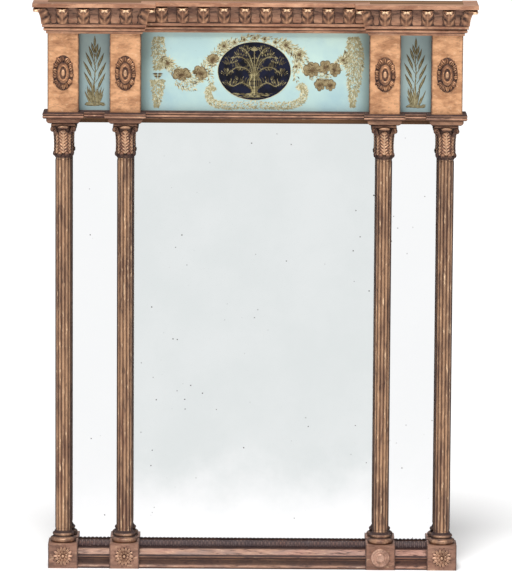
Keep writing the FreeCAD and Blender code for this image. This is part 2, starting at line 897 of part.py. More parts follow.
def turned_on_plinth(moves, x):
    boss = turned(moves)
    boss.rotate(FreeCAD.Vector(), along, 90)
    boss.translate(at(x, plinth_front, plinth_height / 2))
    return boss


def make_rosette(x):
    z = plinth_height / 2
    radius = rosette_radius / (1 + lobe_bulge_share)
    plate = lobed_plate(x, z, radius, radius, rosette_lobes, plinth_front, rosette_plate)
    tier_radius = radius * rosette_tier_share
    tier_height = rosette_plate + rosette_tier_step
    tier = lobed_plate(x, z, tier_radius, tier_radius, rosette_lobes, plinth_front, tier_height)
    boss_height = tier_height + rosette_boss_rise
    boss = oval_plate(x, z, rosette_boss_radius, rosette_boss_radius, plinth_front, boss_height)
    return fused(plate, tier, boss)


def make_turned_boss(x):
    height = turned_boss_plate
    rim_high = height + turned_boss_rim / 2
    moves = (
        (0, 0),
        (turned_boss_radius, 0),
        (turned_boss_radius, height),
        (turned_boss_radius - turned_boss_rim / 2, rim_high),
        (turned_boss_radius - turned_boss_rim, height),
    )
    return turned_on_plinth(moves + low_boss(turned_boss_dome_radius, height, turned_boss_dome_height), x)


def make_ornaments():
    save("frieze_paterae", *[make_patera(x) for x in column_offsets])
    rosettes = []
    for index, x in enumerate(column_offsets):
        rosettes.append(make_turned_boss(x) if index == turned_boss_plinth else make_rosette(x))
    save("plinth_rosettes", *rosettes)


# Hangers

hanger_back = top_rail_setback - hanger_plate_thickness
ring_depth = hanger_back - ring_wire_radius - ring_plate_gap
ring_level = top_rail_high - hanger_top_drop


def make_hanger_plate(x):
    half = hanger_plate_width / 2
    plate_low = ring_level - hanger_plate_height
    plate = block(x - half, x + half, hanger_back, top_rail_setback, plate_low, ring_level)
    barrel_start = x - hanger_knuckle_length / 2
    barrel = rod(barrel_start, ring_depth, ring_level, hanger_knuckle_radius, hanger_knuckle_length, along)
    bore = rod(
        x - half - overrun,
        ring_depth,
        ring_level,
        ring_wire_radius + ring_running_gap,
        hanger_plate_width + 2 * overrun,
        along,
    )
    return fused(plate, barrel).cut(bore)


# The ring's round bar turns in the knuckle; the rest of the ring is a many-sided wire along corners and bow
def make_ring(x):
    reach = ring_half_width - ring_corner_radius
    corner_level = ring_level - ring_corner_radius
    bow_level = corner_level - ring_leg
    path = [at(x + reach, ring_depth, ring_level)]
    for index in range(1, ring_corner_steps + 1):
        angle = math.pi / 2 * (1 - index / ring_corner_steps)
        rise = ring_corner_radius * math.sin(angle)
        path.append(at(x + reach + ring_corner_radius * math.cos(angle), ring_depth, corner_level + rise))
    for index in range((ring_bow_steps + 1) // 2):
        angle = math.pi * index / ring_bow_steps
        drop = ring_half_width * math.sin(angle)
        path.append(at(x + ring_half_width * math.cos(angle), ring_depth, bow_level - drop))
    path.append(at(x, ring_depth, bow_level - drop))
    turns = [2 * math.pi * index / ring_wire_sides for index in range(ring_wire_sides)]
    spokes = [FreeCAD.Vector(0, math.cos(turn), math.sin(turn)) for turn in turns]
    section = [path[0] + spoke * ring_wire_radius for spoke in spokes]
    spine = Part.makePolygon(path)
    half = spine.makePipeShell([Part.makePolygon(section + section[:1])], True, False, 1)
    other_half = half.mirror(at(x, 0, 0), along)
    bar = rod(x - reach, ring_depth, ring_level, ring_wire_radius, 2 * reach, along)
    return fused(bar, half, other_half)


def make_hangers():
    save("hanger_plates", *[make_hanger_plate(side * hanger_offset) for _, side in side_signs])
    for name, side in side_signs:
        save(name + "_hanger_ring", make_ring(side * hanger_offset))


os.makedirs("parts", exist_ok=True)
make_frame()
make_plates()
make_plinths()
make_base()
make_columns()
make_architrave()
make_frieze()
make_cornice()
make_ornaments()
make_hangers()
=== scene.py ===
# %% [markdown]
# # An overmantel mirror with a painted frieze
# This lesson dresses the finished solids of an old gilt mirror: four reeded columns carry a frieze of
# painted glass and a cornice full of leaves. The plain pieces (frame, boards, mouldings, plates) are
# shown as they come. The carved and painted pieces are modelled here and take the place of the plain
# ones. Lengths are in metres, the front faces minus Y, and the wall is at Y = 0.

# %% The frame
import json
import random
from math import acos, asin, atan2, cos, degrees, exp, hypot, pi, radians, sin, sqrt, tan, tau

import bpy
from mathutils import Matrix, Vector

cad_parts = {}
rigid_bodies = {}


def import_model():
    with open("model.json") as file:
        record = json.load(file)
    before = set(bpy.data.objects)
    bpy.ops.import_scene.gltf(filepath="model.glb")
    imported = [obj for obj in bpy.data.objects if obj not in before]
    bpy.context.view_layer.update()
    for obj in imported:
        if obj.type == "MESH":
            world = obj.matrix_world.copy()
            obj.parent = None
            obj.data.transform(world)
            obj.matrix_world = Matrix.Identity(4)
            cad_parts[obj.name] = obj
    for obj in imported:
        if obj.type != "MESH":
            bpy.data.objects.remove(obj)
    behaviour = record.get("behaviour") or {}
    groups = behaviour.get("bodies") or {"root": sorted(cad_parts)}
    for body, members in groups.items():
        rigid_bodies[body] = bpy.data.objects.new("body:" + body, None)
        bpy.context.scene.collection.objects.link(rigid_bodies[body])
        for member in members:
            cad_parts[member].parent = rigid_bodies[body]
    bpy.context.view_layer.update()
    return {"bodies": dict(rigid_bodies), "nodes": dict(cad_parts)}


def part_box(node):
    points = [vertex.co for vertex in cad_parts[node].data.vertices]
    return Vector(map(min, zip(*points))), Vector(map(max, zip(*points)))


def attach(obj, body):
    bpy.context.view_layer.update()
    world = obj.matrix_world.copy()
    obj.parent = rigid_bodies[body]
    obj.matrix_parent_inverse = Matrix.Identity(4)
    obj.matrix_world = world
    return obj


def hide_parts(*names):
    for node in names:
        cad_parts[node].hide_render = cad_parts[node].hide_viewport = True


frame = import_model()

for thing in list(bpy.data.objects):
    if thing not in list(frame["nodes"].values()) and thing not in list(frame["bodies"].values()):
        bpy.data.objects.remove(thing)
MM = 0.001
print("pieces in the frame:", len(frame["nodes"]))

# %% [markdown]
# ## A short way to write shaders
# A finish is a small tree of nodes. Wired by hand it grows long, so a socket is wrapped in a class that
# knows plus, minus and times. An expression such as `1 - worn * 0.5` then adds its own Math nodes. One
# method makes any other node from its type, its settings and its inputs.


# %% Sockets that can be added and multiplied
def operator(name, swapped=False):
    def method(self, other):
        first, second = (other, self) if swapped else (self, other)
        return self.finish.node("ShaderNodeMath", {"operation": name}, {0: first, 1: second})

    return method


class Value:
    def __init__(self, finish, socket):
        self.finish = finish
        self.socket = socket

    __add__, __radd__ = operator("ADD"), operator("ADD", swapped=True)
    __sub__, __rsub__ = operator("SUBTRACT"), operator("SUBTRACT", swapped=True)
    __mul__, __rmul__ = operator("MULTIPLY"), operator("MULTIPLY", swapped=True)

    def size(self):
        return self.finish.node("ShaderNodeMath", {"operation": "ABSOLUTE"}, {0: self})

    def at_most_one(self):
        return self.finish.node("ShaderNodeClamp", {}, {0: self})

    def ease(self, low, high):
        inputs = {"Value": self, "From Min": low, "From Max": high}
        return self.finish.node("ShaderNodeMapRange", {"interpolation_type": "SMOOTHSTEP"}, inputs)


class Finish:
    def __init__(self, name, **constants):
        self.material = bpy.data.materials.new(name)
        self.material.use_nodes = True
        self.tree = self.material.node_tree
        self.shader = self.tree.nodes["Principled BSDF"]
        for socket, constant in constants.items():
            self.shader.inputs[socket.replace("_", " ")].default_value = constant
        self.place = self.node("ShaderNodeTexCoord", {}, {}, "Object")

    def node(self, kind, settings, inputs, output=0):
        made = self.tree.nodes.new(kind)
        for setting, value in settings.items():
            setattr(made, setting, value)
        for key, value in inputs.items():
            if isinstance(value, Value):
                self.tree.links.new(value.socket, made.inputs[key])
            else:
                made.inputs[key].default_value = value
        return Value(self, made.outputs[output])

    def feed(self, socket, value):
        self.tree.links.new(value.socket, self.shader.inputs[socket])

    def along(self, axis):
        return self.node("ShaderNodeSeparateXYZ", {}, {0: self.place}, axis)

    def stretched(self, x, y, z):
        settings = {"operation": "MULTIPLY"}
        return self.node("ShaderNodeVectorMath", settings, {0: self.place, 1: (x, y, z)})

    def noise(self, scale, detail=3.0, rough=0.55, where=None):
        inputs = {"Vector": where or self.place, "Scale": scale, "Detail": detail, "Roughness": rough}
        return self.node("ShaderNodeTexNoise", {}, inputs, "Fac")

    def mix(self, share, first, second):
        return self.node("ShaderNodeMix", {"data_type": "RGBA"}, {0: share, 6: first, 7: second}, 2)

    def own(self, attribute):
        return self.node("ShaderNodeAttribute", {"attribute_name": attribute}, {}, "Fac")

    def relief(self, height, strength, depth):
        bump = self.node("ShaderNodeBump", {}, {"Height": height, "Strength": strength, "Distance": depth})
        self.feed("Normal", bump)


def colour(red, green, blue):
    def linear(level):
        share = level / 255
        return share / 12.92 if share <= 0.04045 else ((share + 0.055) / 1.055) ** 2.4

    return (linear(red), linear(green), linear(blue), 1.0)


print("a shader kit of two classes")

# %% [markdown]
# ## Gilding
# Gold leaf lies on a red clay over chalk. It wears through to the clay in patches, and dirt stays in the
# hollows. Light and shade are painted into the colour too: painted shade darkens the hollows, and where
# the gold rubs bright on high places a painted highlight mixes with random rubbed flecks. This shade could
# be found by tracing rays, but a model that leaves this scene would lose it. So each carved piece carries a
# number called `dirt_shade_and_highlight` on its points: 1 deep in the carving, below 0 for a painted
# highlight. The mouldings get bands of painted shade at the heights where their quirks lie, the blocks get
# painted shade at their edges, and round pieces get painted shade on their sides.


# %% The gilding
DIRT_AND_SHADE = colour(42, 26, 29)
CLAY = colour(120, 78, 60)
RUBBED_AND_HIGHLIGHT = colour(250, 212, 172)
SOLIDS = {name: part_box(name) for name in frame["nodes"]}


def middle_of(node, axis):
    low, high = SOLIDS[node]
    return (low[axis] + high[axis]) / 2


OUTER_AXIS = middle_of("outer_right_plinth_block", 0)
INNER_AXIS = middle_of("inner_right_plinth_block", 0)
COLUMN_AXIS = middle_of("inner_right_plinth_block", 1)


def gilding(
    name, pale, deep, bands=(), drawn=(1, 1, 1), veil=0.0, worn=0.5, rub_and_highlight=0.4, block_half=None, sides=None
):
    """Gold leaf with its dirt, painted shade in hollows, in bands, at the edges of blocks or at the sides,
    and a painted highlight on high places.
    """
    gold = Finish("gilt_" + name, IOR=1.45)
    drawn = gold.stretched(*drawn)
    mottle = gold.noise(60.0, 5.0, 0.62, drawn)
    fleck = gold.noise(210.0, 5.0, 0.68, drawn)
    patches = gold.noise(17.0, 4.0, 0.6, drawn)
    dirt_shade_and_highlight = gold.own("dirt_shade_and_highlight")
    body = gold.mix(mottle.ease(0.34, 0.64), colour(*deep), colour(*pale))
    body = gold.mix(patches.ease(0.52, 0.68) * worn, body, CLAY)
    # Painted highlight: pale gold where the depth goes below 0, mixed with random rubbed flecks.
    rubbed_and_highlight = fleck.ease(0.56, 0.70) * rub_and_highlight - dirt_shade_and_highlight * 0.8
    body = gold.mix(rubbed_and_highlight.at_most_one(), body, RUBBED_AND_HIGHLIGHT)
    # Painted shade in bands at the heights of the quirks and the cove.
    for low, full, end, share in bands:
        level = gold.along("Z")
        dirt_shade_and_highlight = dirt_shade_and_highlight + level.ease(low, full) * (1 - level.ease(end, end + 0.7 * MM)) * share
    # Painted shade at the left and right edges of each block and on its sides.
    if block_half:
        from_axis = gold.along("X").size() - (OUTER_AXIS + INNER_AXIS) / 2
        from_axis = (from_axis.size() - (OUTER_AXIS - INNER_AXIS) / 2).size()
        dirt_shade_and_highlight = dirt_shade_and_highlight + from_axis.ease(block_half - 3 * MM, block_half) * 0.9
    # Painted shade on the sides of round pieces, growing from the front towards the back.
    if sides:
        start, full, share = sides
        dirt_shade_and_highlight = dirt_shade_and_highlight + gold.along("Y").ease(COLUMN_AXIS - start * MM, COLUMN_AXIS - full * MM) * share
    chips = (1 - fleck.ease(0.32, 0.48)) * (0.35 + patches)
    dirt_and_shade = (dirt_shade_and_highlight * (0.45 + fleck.ease(0.34, 0.62) * 0.75) + chips * worn + veil).at_most_one()
    gold.feed("Base Color", gold.mix(dirt_and_shade * 0.92, body, DIRT_AND_SHADE))
    gold.feed("Metallic", 0.36 - dirt_and_shade * 0.34)
    gold.feed("Roughness", 0.38 + dirt_and_shade * 0.35 + mottle * 0.1)
    gold.relief(fleck + mottle * 0.6, 0.4, 0.0006)
    return gold.material


print("columns stand at", round(OUTER_AXIS, 4), "and", round(INNER_AXIS, 4), "on both sides")

# %% [markdown]
# The dark bands of painted shade are counted up from a zero height on each moulding. Each finish then has a
# pale and a deep colour, and says how its marks are drawn out and how far it is veiled, worn, and rubbed or
# given a painted highlight.


# %% The gilt finishes
def quirk(level, half, share=0.9):
    """A line of painted shade over a zero height, in millimetres: where it starts, is full and ends, and its
    share.
    """
    return (level - half) * MM, (level - half * 0.4) * MM, (level + half * 0.6) * MM, share


def lifted(lines, zero):
    return [(low + zero, full + zero, end + zero, share) for low, full, end, share in lines]


CORNICE_LOW = SOLIDS["cornice_centre"][0].z
FRIEZE_LOW = SOLIDS["centre_frieze_glass"][0].z
cove_shade = (20 * MM, 37 * MM, 46 * MM, 0.8)
cornice_lines = lifted([quirk(4.6, 1.2), quirk(11.0, 1.2), quirk(17.2, 1.4), cove_shade], CORNICE_LOW)
architrave_quirks = [quirk(-0.4, 3, 1.0), quirk(-5.3, 1.1), quirk(-10.5, 1.4), quirk(-20, 2.2)]
architrave_lines = lifted(architrave_quirks, FRIEZE_LOW)
base_lines = [quirk(0.5, 2.0, 0.7), quirk(11, 6, 0.62), quirk(18, 1.5, 1.0), quirk(22.2, 1.2, 1.0)]
base_lines.append(quirk(34, 4, 1.0))
ALONG, ACROSS, UPRIGHT = (0.3, 1, 1), (0.6, 1, 1.2), (1, 1, 0.2)
FRIEZE_BLOCK_HALF, PLINTH_BLOCK_HALF = 26.5 * MM, 25.5 * MM
GILT = {
    name: gilding(name, pale, deep, **more)
    for name, pale, deep, more in (
        ("cornice", (222, 168, 134), (168, 118, 92), dict(bands=cornice_lines, drawn=ALONG)),
        ("architrave", (180, 134, 106), (128, 93, 75),
         dict(bands=architrave_lines, drawn=ALONG, veil=0.06, worn=0.7)),
        ("base", (124, 88, 67), (88, 60, 47),
         dict(bands=base_lines, drawn=ALONG, veil=0.05, worn=0.9, rub_and_highlight=0.15)),
        ("strip", (110, 83, 73), (70, 50, 47), dict(veil=0.16, worn=0.8, rub_and_highlight=0.15)),
        ("block", (232, 175, 130), (184, 131, 93),
         dict(drawn=ACROSS, worn=0.42, rub_and_highlight=0.45, block_half=FRIEZE_BLOCK_HALF)),
        ("plinth", (164, 124, 104), (122, 90, 76), dict(drawn=ALONG, block_half=PLINTH_BLOCK_HALF)),
        ("carving", (200, 148, 112), (152, 106, 80), {}),
        ("patera", (204, 150, 110), (142, 98, 72), dict(worn=0.8, rub_and_highlight=0.5)),
        ("rosette", (176, 132, 110), (130, 92, 76), {}),
        ("capital", (196, 146, 112), (136, 94, 74), dict(worn=0.7, sides=(15, 7, 0.75))),
        ("turning", (176, 136, 108), (120, 90, 74), dict(worn=0.7, sides=(19, 7, 0.8))),
        ("boss", (196, 156, 136), (138, 102, 86), dict(worn=0.8)),
        ("column", (178, 136, 104), (112, 80, 63),
         dict(drawn=UPRIGHT, worn=0.9, rub_and_highlight=0.9, sides=(12, 4, 0.95))),
    )
}
print("gilt finishes:", len(GILT))

# %% [markdown]
# ## Glass, paint, pine and metal
# The plates are old silvered glass with a few dark specks where the silver has gone, and a painted
# reflection that turns them grey above their lowest part, less so on the side plates. The frieze is glass
# painted on its back, so the paint is even and the front is glossy; a painted shadow of the blocks darkens
# its ends. The back frame is bare old pine, with its grain drawn out along each board, the hangers are
# dull brass, and the nails rusty iron.

# %% Mirror, paint, pine and metal
BEHIND_INNER_COLUMN = (0.218, 0.222)


def old_mirror():
    silver = Finish("old_silver", Metallic=1.0, IOR=1.5)
    cloud = silver.noise(7.0, 5.0, 0.6)
    flecks = silver.node("ShaderNodeTexVoronoi", {}, {"Vector": silver.place, "Scale": 58.0}, "Distance")
    chosen = silver.noise(11.0, 3.0)
    fox = (1 - flecks.ease(0.03, 0.10)) * chosen.ease(0.51, 0.58)
    middle = 1 - silver.along("X").size().ease(*BEHIND_INNER_COLUMN)
    # Painted reflection: the silver turns grey above its lowest part, less so on the side plates.
    painted_reflection = (silver.along("Z") + cloud * 0.2 - 0.1).ease(0.06, 0.21) * (0.25 + middle * 0.75)
    veil = painted_reflection * (0.84 + cloud.ease(0.35, 0.65) * 0.16)
    plain = silver.mix(veil, colour(238, 238, 239), colour(212, 216, 216))
    silver.feed("Base Color", silver.mix(fox * 0.85, plain, colour(70, 64, 60)))
    silver.feed("Roughness", 0.03 + fox * 0.4 + painted_reflection * 0.03)
    return silver.material


def painted_ground(name, pale, deep, edge, half_width, centre, fade):
    paint = Finish(name, IOR=1.5, Coat_Weight=0.25, Coat_Roughness=0.15, Roughness=0.55)
    cloud = paint.noise(13.0, 5.0, 0.6)
    fine = paint.noise(240.0, 3.0, 0.6)
    low_down = 1 - paint.along("Z").ease(FRIEZE_LOW, FRIEZE_LOW + 0.1)
    body = paint.mix(cloud.ease(0.35, 0.68) * 0.7 + low_down * 0.5, colour(*pale), colour(*deep))
    # A painted shadow of the blocks darkens the ground towards both its ends.
    reach = (paint.along("X") - centre).size()
    painted_block_shadow = reach.ease(half_width - fade, half_width) * 0.8
    body = paint.mix(painted_block_shadow, body, colour(*edge))
    chips = fine.ease(0.66, 0.76) * cloud.ease(0.46, 0.62)
    paint.feed("Base Color", paint.mix(chips * 0.55, body, colour(84, 88, 80)))
    return paint.material


def pine(name, pale, dark, long_axis):
    wood = Finish(name, IOR=1.45)
    squeeze = {"X": (3.0, 60.0, 60.0), "Z": (60.0, 60.0, 3.0)}[long_axis]
    grain = wood.noise(1.0, 5.0, 0.65, wood.stretched(*squeeze))
    stain = wood.noise(9.0, 4.0, 0.6)
    body = wood.mix(grain.ease(0.36, 0.64), colour(*dark), colour(*pale))
    wood.feed("Base Color", wood.mix(stain.ease(0.5, 0.75) * 0.5, body, colour(*dark)))
    wood.feed("Roughness", 0.62 + grain * 0.25)
    wood.relief(grain, 0.3, 0.0006)
    return wood.material


def worn_metal(name, metallic, ior, scale, edge, pale, dark, rough, more_rough):
    metal = Finish(name, Metallic=metallic, IOR=ior)
    tarnish = metal.noise(scale, 4.0, 0.6)
    metal.feed("Base Color", metal.mix(tarnish.ease(*edge), colour(*pale), colour(*dark)))
    metal.feed("Roughness", rough + tarnish * more_rough)
    return metal.material


mirror_glass = old_mirror()
half_centre = SOLIDS["centre_frieze_glass"][1].x
blues = (196, 222, 212), (170, 202, 206), (116, 136, 130)
turquoise = painted_ground("turquoise_paint", *blues, half_centre, 0.0, 34 * MM)
side_centre = middle_of("right_frieze_glass", 0)
side_half = SOLIDS["right_frieze_glass"][1].x - side_centre
greys = (190, 212, 208), (162, 188, 190), (112, 128, 128)
blue_grey = {
    side: painted_ground(side + "_blue_grey_paint", *greys, side_half, sign * side_centre, 12 * MM)
    for side, sign in (("left", -1), ("right", 1))
}
pine_upright = pine("pine_upright", (150, 112, 74), (104, 72, 46), "Z")
pine_across = pine("pine_across", (146, 108, 72), (100, 70, 45), "X")
pine_board = pine("pine_board", (128, 94, 62), (84, 58, 38), "Z")
brass = worn_metal("dull_brass", 1.0, 1.45, 160.0, (0.4, 0.7), (196, 164, 96), (120, 92, 52), 0.32, 0.25)
iron = worn_metal("rusty_iron", 0.7, 1.5, 300.0, (0.35, 0.65), (86, 72, 62), (58, 40, 30), 0.45, 0.3)
print("silver, paint, wood, brass and iron are ready")

# %% [markdown]
# ## Finishes for the pieces that come ready made
# Each node of the frame gets the first finish in this list with a word that its name holds. What no
# word fits is gilt carving.

# %% Dress the frame's own pieces
FINISHES = (
    (mirror_glass, "mirror_plate"),
    (turquoise, "centre_frieze_glass"),
    (blue_grey["left"], "left_frieze_glass"),
    (blue_grey["right"], "right_frieze_glass"),
    (GILT["architrave"], "architrave"),
    (pine_across, "_rail", "cornice_board", "dust_board"),
    (pine_upright, "stile", "muntin", "plate_blocks", "glue_blocks"),
    (pine_board, "backboard", "frieze_backing"),
    (brass, "hanger"),
    (GILT["cornice"], "cornice"),
    (GILT["base"], "base_moulding"),
    (GILT["strip"], "leaf_strips"),
    (GILT["plinth"], "plinth_block"),
    (GILT["block"], "frieze_block"),
    (GILT["carving"], ""),
)


def finish_of(node):
    return next(finish for finish, *words in FINISHES if any(word in node for word in words))


for name, node in frame["nodes"].items():
    node.data.materials.clear()
    node.data.materials.append(finish_of(name))
print("dressed nodes:", len(frame["nodes"]))

# %% [markdown]
# ## Helpers for modelling
# A new piece starts as a primitive. Its points are then pushed into place by a rule, much as a carver
# cuts a leaf from a blank, and a second rule can write how deep each point lies, which the gilding
# paints as dirt, painted shade and painted highlight.


# %% Blanks and carving
def choose(*pieces):
    """Select these pieces and nothing else. The first becomes the active one."""
    bpy.ops.object.select_all(action="DESELECT")
    for piece in reversed(pieces):
        piece.select_set(True)
        bpy.context.view_layer.objects.active = piece


def new_object(make, **settings):
    choose()
    make(**settings)
    return bpy.context.object


def mm(*lengths):
    """A point from three lengths in millimetres."""
    return Vector([length * MM for length in lengths])


def even(depth):
    """A depth that is the same at every point."""
    return lambda *point: depth


def blank(columns, rows):
    return new_object(bpy.ops.mesh.primitive_grid_add, x_subdivisions=columns, y_subdivisions=rows, size=2)


def write_dirt_shade_and_highlight(piece, depth_rule):
    """Write how deep every point lies in the carving, for the gilding's dirt, painted shade and painted
    highlight.
    """
    dirt_shade_and_highlight = piece.data.attributes.new("dirt_shade_and_highlight", "FLOAT", "POINT")
    dirt_shade_and_highlight.data.foreach_set("value", [depth_rule(*point.co) for point in piece.data.vertices])


def carve(piece, rule, depth_rule=None):
    if depth_rule:
        write_dirt_shade_and_highlight(piece, depth_rule)
    for point in piece.data.vertices:
        point.co = rule(*point.co)


def ball(segments, rings, rule, depth_rule):
    piece = new_object(bpy.ops.mesh.primitive_uv_sphere_add, segments=segments, ring_count=rings, radius=1)
    carve(piece, rule, depth_rule)
    return piece


def egg(segments, rings, centre, radii, depth_rule):
    """A ball stretched to three radii round a centre, in millimetres."""
    middle, size = Vector(centre), Vector(radii)
    return ball(segments, rings, lambda *point: (middle + size * Vector(point)) * MM, depth_rule)


def piece_from(points, edges, faces, name):
    mesh = bpy.data.meshes.new(name)
    mesh.from_pydata(points, edges, faces)
    piece = bpy.data.objects.new(name, mesh)
    bpy.context.scene.collection.objects.link(piece)
    return piece


def apply_modifier(piece, kind, **settings):
    choose(piece)
    modifier = piece.modifiers.new(kind.lower(), kind)
    for setting, value in settings.items():
        setattr(modifier, setting, value)
    bpy.ops.object.modifier_apply(modifier=modifier.name)


def mend_normals(piece, merge=0.02 * MM):
    choose(piece)
    bpy.ops.object.mode_set(mode="EDIT")
    bpy.ops.mesh.select_all(action="SELECT")
    bpy.ops.mesh.remove_doubles(threshold=merge)
    bpy.ops.mesh.normals_make_consistent(inside=False)
    bpy.ops.object.mode_set(mode="OBJECT")


def sheet(columns, rows, rule, depth_rule, thickness):
    """A grid bent by a rule and then given a thickness."""
    piece = blank(columns, rows)
    carve(piece, rule, depth_rule)
    apply_modifier(piece, "SOLIDIFY", thickness=thickness, offset=-1)
    mend_normals(piece)
    return piece


print("carving helpers ready")

# %% [markdown]
# A copy takes its place in its own mesh, so every finished piece stays at the origin. It is then handed
# over with its finish, the body it rides on and the solids that it stands for.


# %% Copies, joins and handing over
def turn(angle, axis="Z"):
    """A turn by an angle in degrees."""
    return Matrix.Rotation(radians(angle), 4, axis)


def copy_at(piece, move):
    twin = piece.copy()
    twin.data = piece.data.copy()
    bpy.context.scene.collection.objects.link(twin)
    twin.data.transform(move)
    return twin


def join(pieces, name):
    choose(*pieces)
    bpy.ops.object.join()
    whole = bpy.context.object
    whole.name = name
    whole.data.name = name
    return whole


def discard(*pieces):
    for piece in pieces:
        bpy.data.objects.remove(piece)


def repeat(piece, places, name):
    """Copies of a piece at all the places, joined; the pattern piece goes."""
    whole = join([copy_at(piece, Matrix.Translation(place)) for place in places], name)
    discard(piece)
    return whole


def hand_over(piece, finish, replaced=(), smooth=38):
    choose(piece)
    bpy.ops.object.transform_apply(location=True, rotation=True, scale=True)
    bpy.ops.object.shade_smooth_by_angle(angle=radians(smooth))
    piece.data.materials.clear()
    piece.data.materials.append(finish)
    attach(piece, "mirror")
    if replaced:
        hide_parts(*replaced)
    print(piece.name, "faces:", len(piece.data.polygons))


def curve_points(knots, count):
    """Points along a smooth line that passes through all the knots."""
    ends = [knots[0]] + list(knots) + [knots[-1]]
    spans = len(knots) - 1
    points = []
    for index in range(count):
        place = index / (count - 1) * spans
        span = min(int(place), spans - 1)
        t = place - span
        a, b, c, d = (Vector(k) for k in ends[span : span + 4])
        spot = 2 * b + (c - a) * t + (2 * a - 5 * b + 4 * c - d) * t * t + (3 * b - a - 3 * c + d) * t**3
        points.append(spot / 2)
    return points


print("joining helpers ready")

# %% [markdown]
# ## Acanthus leaves in the cornice
# Carved leaves stand in the cove with their tips rolled out under the top board. A leaf is a grid whose
# long way follows the cove and then rolls over. Its sides are notched, small lobes fan out from a middle
# rib, and its rim is painted dark, as shade against the cove. Its roll carries a painted highlight with
# painted shade under it. The corner leaves wrap the mitre: sideways they fall back as the corner does.

# %% One leaf and one corner leaf
COVE_LINE = [(8.4, 17.2), (9.1, 23.2), (10.0, 28.8), (11.6, 34.4), (14.0, 39.2), (16.8, 42.6)]
LEAF_ROLL = [(20.0, 44.2), (22.6, 43.0), (23.6, 40.4), (22.4, 38.2), (20.4, 38.6)]


def ridge(x, wide):
    return exp(-((x / wide) ** 2))


def leaf_width(v):
    notches = 0.94 + 0.06 * cos(tau * 4.5 * v)
    tip = 1.0 if v < 0.60 else 1.0 - 0.38 * min(1.0, (v - 0.60) / 0.18)
    return notches * tip


def leaf_lobes(u, v):
    """Small lobes that fan out and up on both sides of the middle rib, between minus one and one."""
    fan = cos(tau * (4.5 * v - 0.8 * abs(u)))
    return fan * min(1.0, abs(u) / 0.3) * (0.7 + 0.3 * cos(tau * 1.7 * abs(u)))


def leaf_relief(u, v):
    if abs(u) > 0.9 and v < 0.7:
        return 0.1
    return 1.7 * (1 - 0.55 * u * u) + 0.5 * ridge(u, 0.14) + 0.55 * leaf_lobes(u, v)


# Painted shade under the roll, round the rim and towards the top, painted shade and highlight over the lobes,
# and a painted highlight on the roll.
def leaf_shade_and_highlight(x, y, z):
    v = (y + 1) / 2
    if v > 0.90:
        return 1.0
    if v > 0.68:
        return -1.0 if abs(x) < 0.72 else 0.4
    if abs(x) > 0.86:
        return 1.0
    dirt_and_shade = 0.5 - 0.75 * leaf_lobes(x, v) - 0.55 * ridge(x, 0.14) + 0.5 * max(0.0, v - 0.45) / 0.2
    return max(-0.35, min(1.0, dirt_and_shade))


def leaf_rule(half_width, corner):
    line = curve_points(COVE_LINE + LEAF_ROLL, 61)

    def rule(x, y, z):
        v = (y + 1) / 2
        place = v * 60
        low = min(int(place), 59)
        spot = line[low].lerp(line[low + 1], place - low)
        step = (line[low + 1] - line[low]).normalized()
        normal = Vector((step.y, -step.x))
        across = x * half_width * leaf_width(v)
        spot = spot + normal * (leaf_relief(x, v) * 0.9)
        reach = spot.x * sqrt(2) - abs(across) * 0.9 if corner else spot.x
        return mm(across, -reach, spot.y)

    return rule


leaf = sheet(25, 44, leaf_rule(11.4, corner=False), leaf_shade_and_highlight, 1.1 * MM)
corner_leaf = sheet(25, 44, leaf_rule(12.5, corner=True), leaf_shade_and_highlight, 1.1 * MM)
print("leaf faces:", len(leaf.data.polygons))

# %% [markdown]
# The cornice breaks forward at both ends, so the leaves stand in rows along its faces: ten in the middle,
# four on each end and two on each return. Each row is a start, a direction and a spacing. The breaks are
# read from the solids.

# %% Rows of leaves
OUTER = SOLIDS["outer_right_frieze_block"][1].x
INNER = SOLIDS["inner_right_frieze_block"][0].x
END_FACE = -SOLIDS["outer_right_frieze_block"][0].y
MIDDLE_FACE = -SOLIDS["cornice_centre"][1].y
CENTRE_PITCH, END_PITCH = 35.4 * MM, 36 * MM
RETURN_START, RETURN_PITCH = 20 * MM, 30 * MM


def stand(angle, x, face):
    return Matrix.Translation((x, -face, CORNICE_LOW)) @ turn(angle)


leaf_spots = [(0, (i - 4.5) * CENTRE_PITCH, MIDDLE_FACE) for i in range(10)]
end_middle = (OUTER + INNER) / 2
corner_spots = []
for sign in (-1, 1):
    leaf_spots += [(0, sign * end_middle + (i - 1.5) * END_PITCH, END_FACE) for i in range(4)]
    leaf_spots += [(sign * 90, sign * OUTER, END_FACE - RETURN_START - RETURN_PITCH * i) for i in range(2)]
    corner_spots += [(sign * 45, sign * OUTER, END_FACE), (-sign * 45, sign * INNER, END_FACE)]
rows = [copy_at(leaf, stand(*spot)) for spot in leaf_spots]
rows += [copy_at(corner_leaf, stand(*spot)) for spot in corner_spots]
acanthus_row = join(rows, "acanthus_leaves")
hand_over(acanthus_row, GILT["carving"], ["cornice_leaves"])
discard(leaf, corner_leaf)
print("leaves:", len(leaf_spots), "corner leaves:", len(corner_spots))

# %% [markdown]
# ## Reeded shafts
# A shaft has fourteen round reeds that stop in round ends just short of the collars. One reeded circle
# could be drawn and extruded, but the ends need more. So a plain tube gets rings of points close together
# at its ends, and every point is pushed out by a rule that rises as a half circle across each reed and
# fades out at the ends.

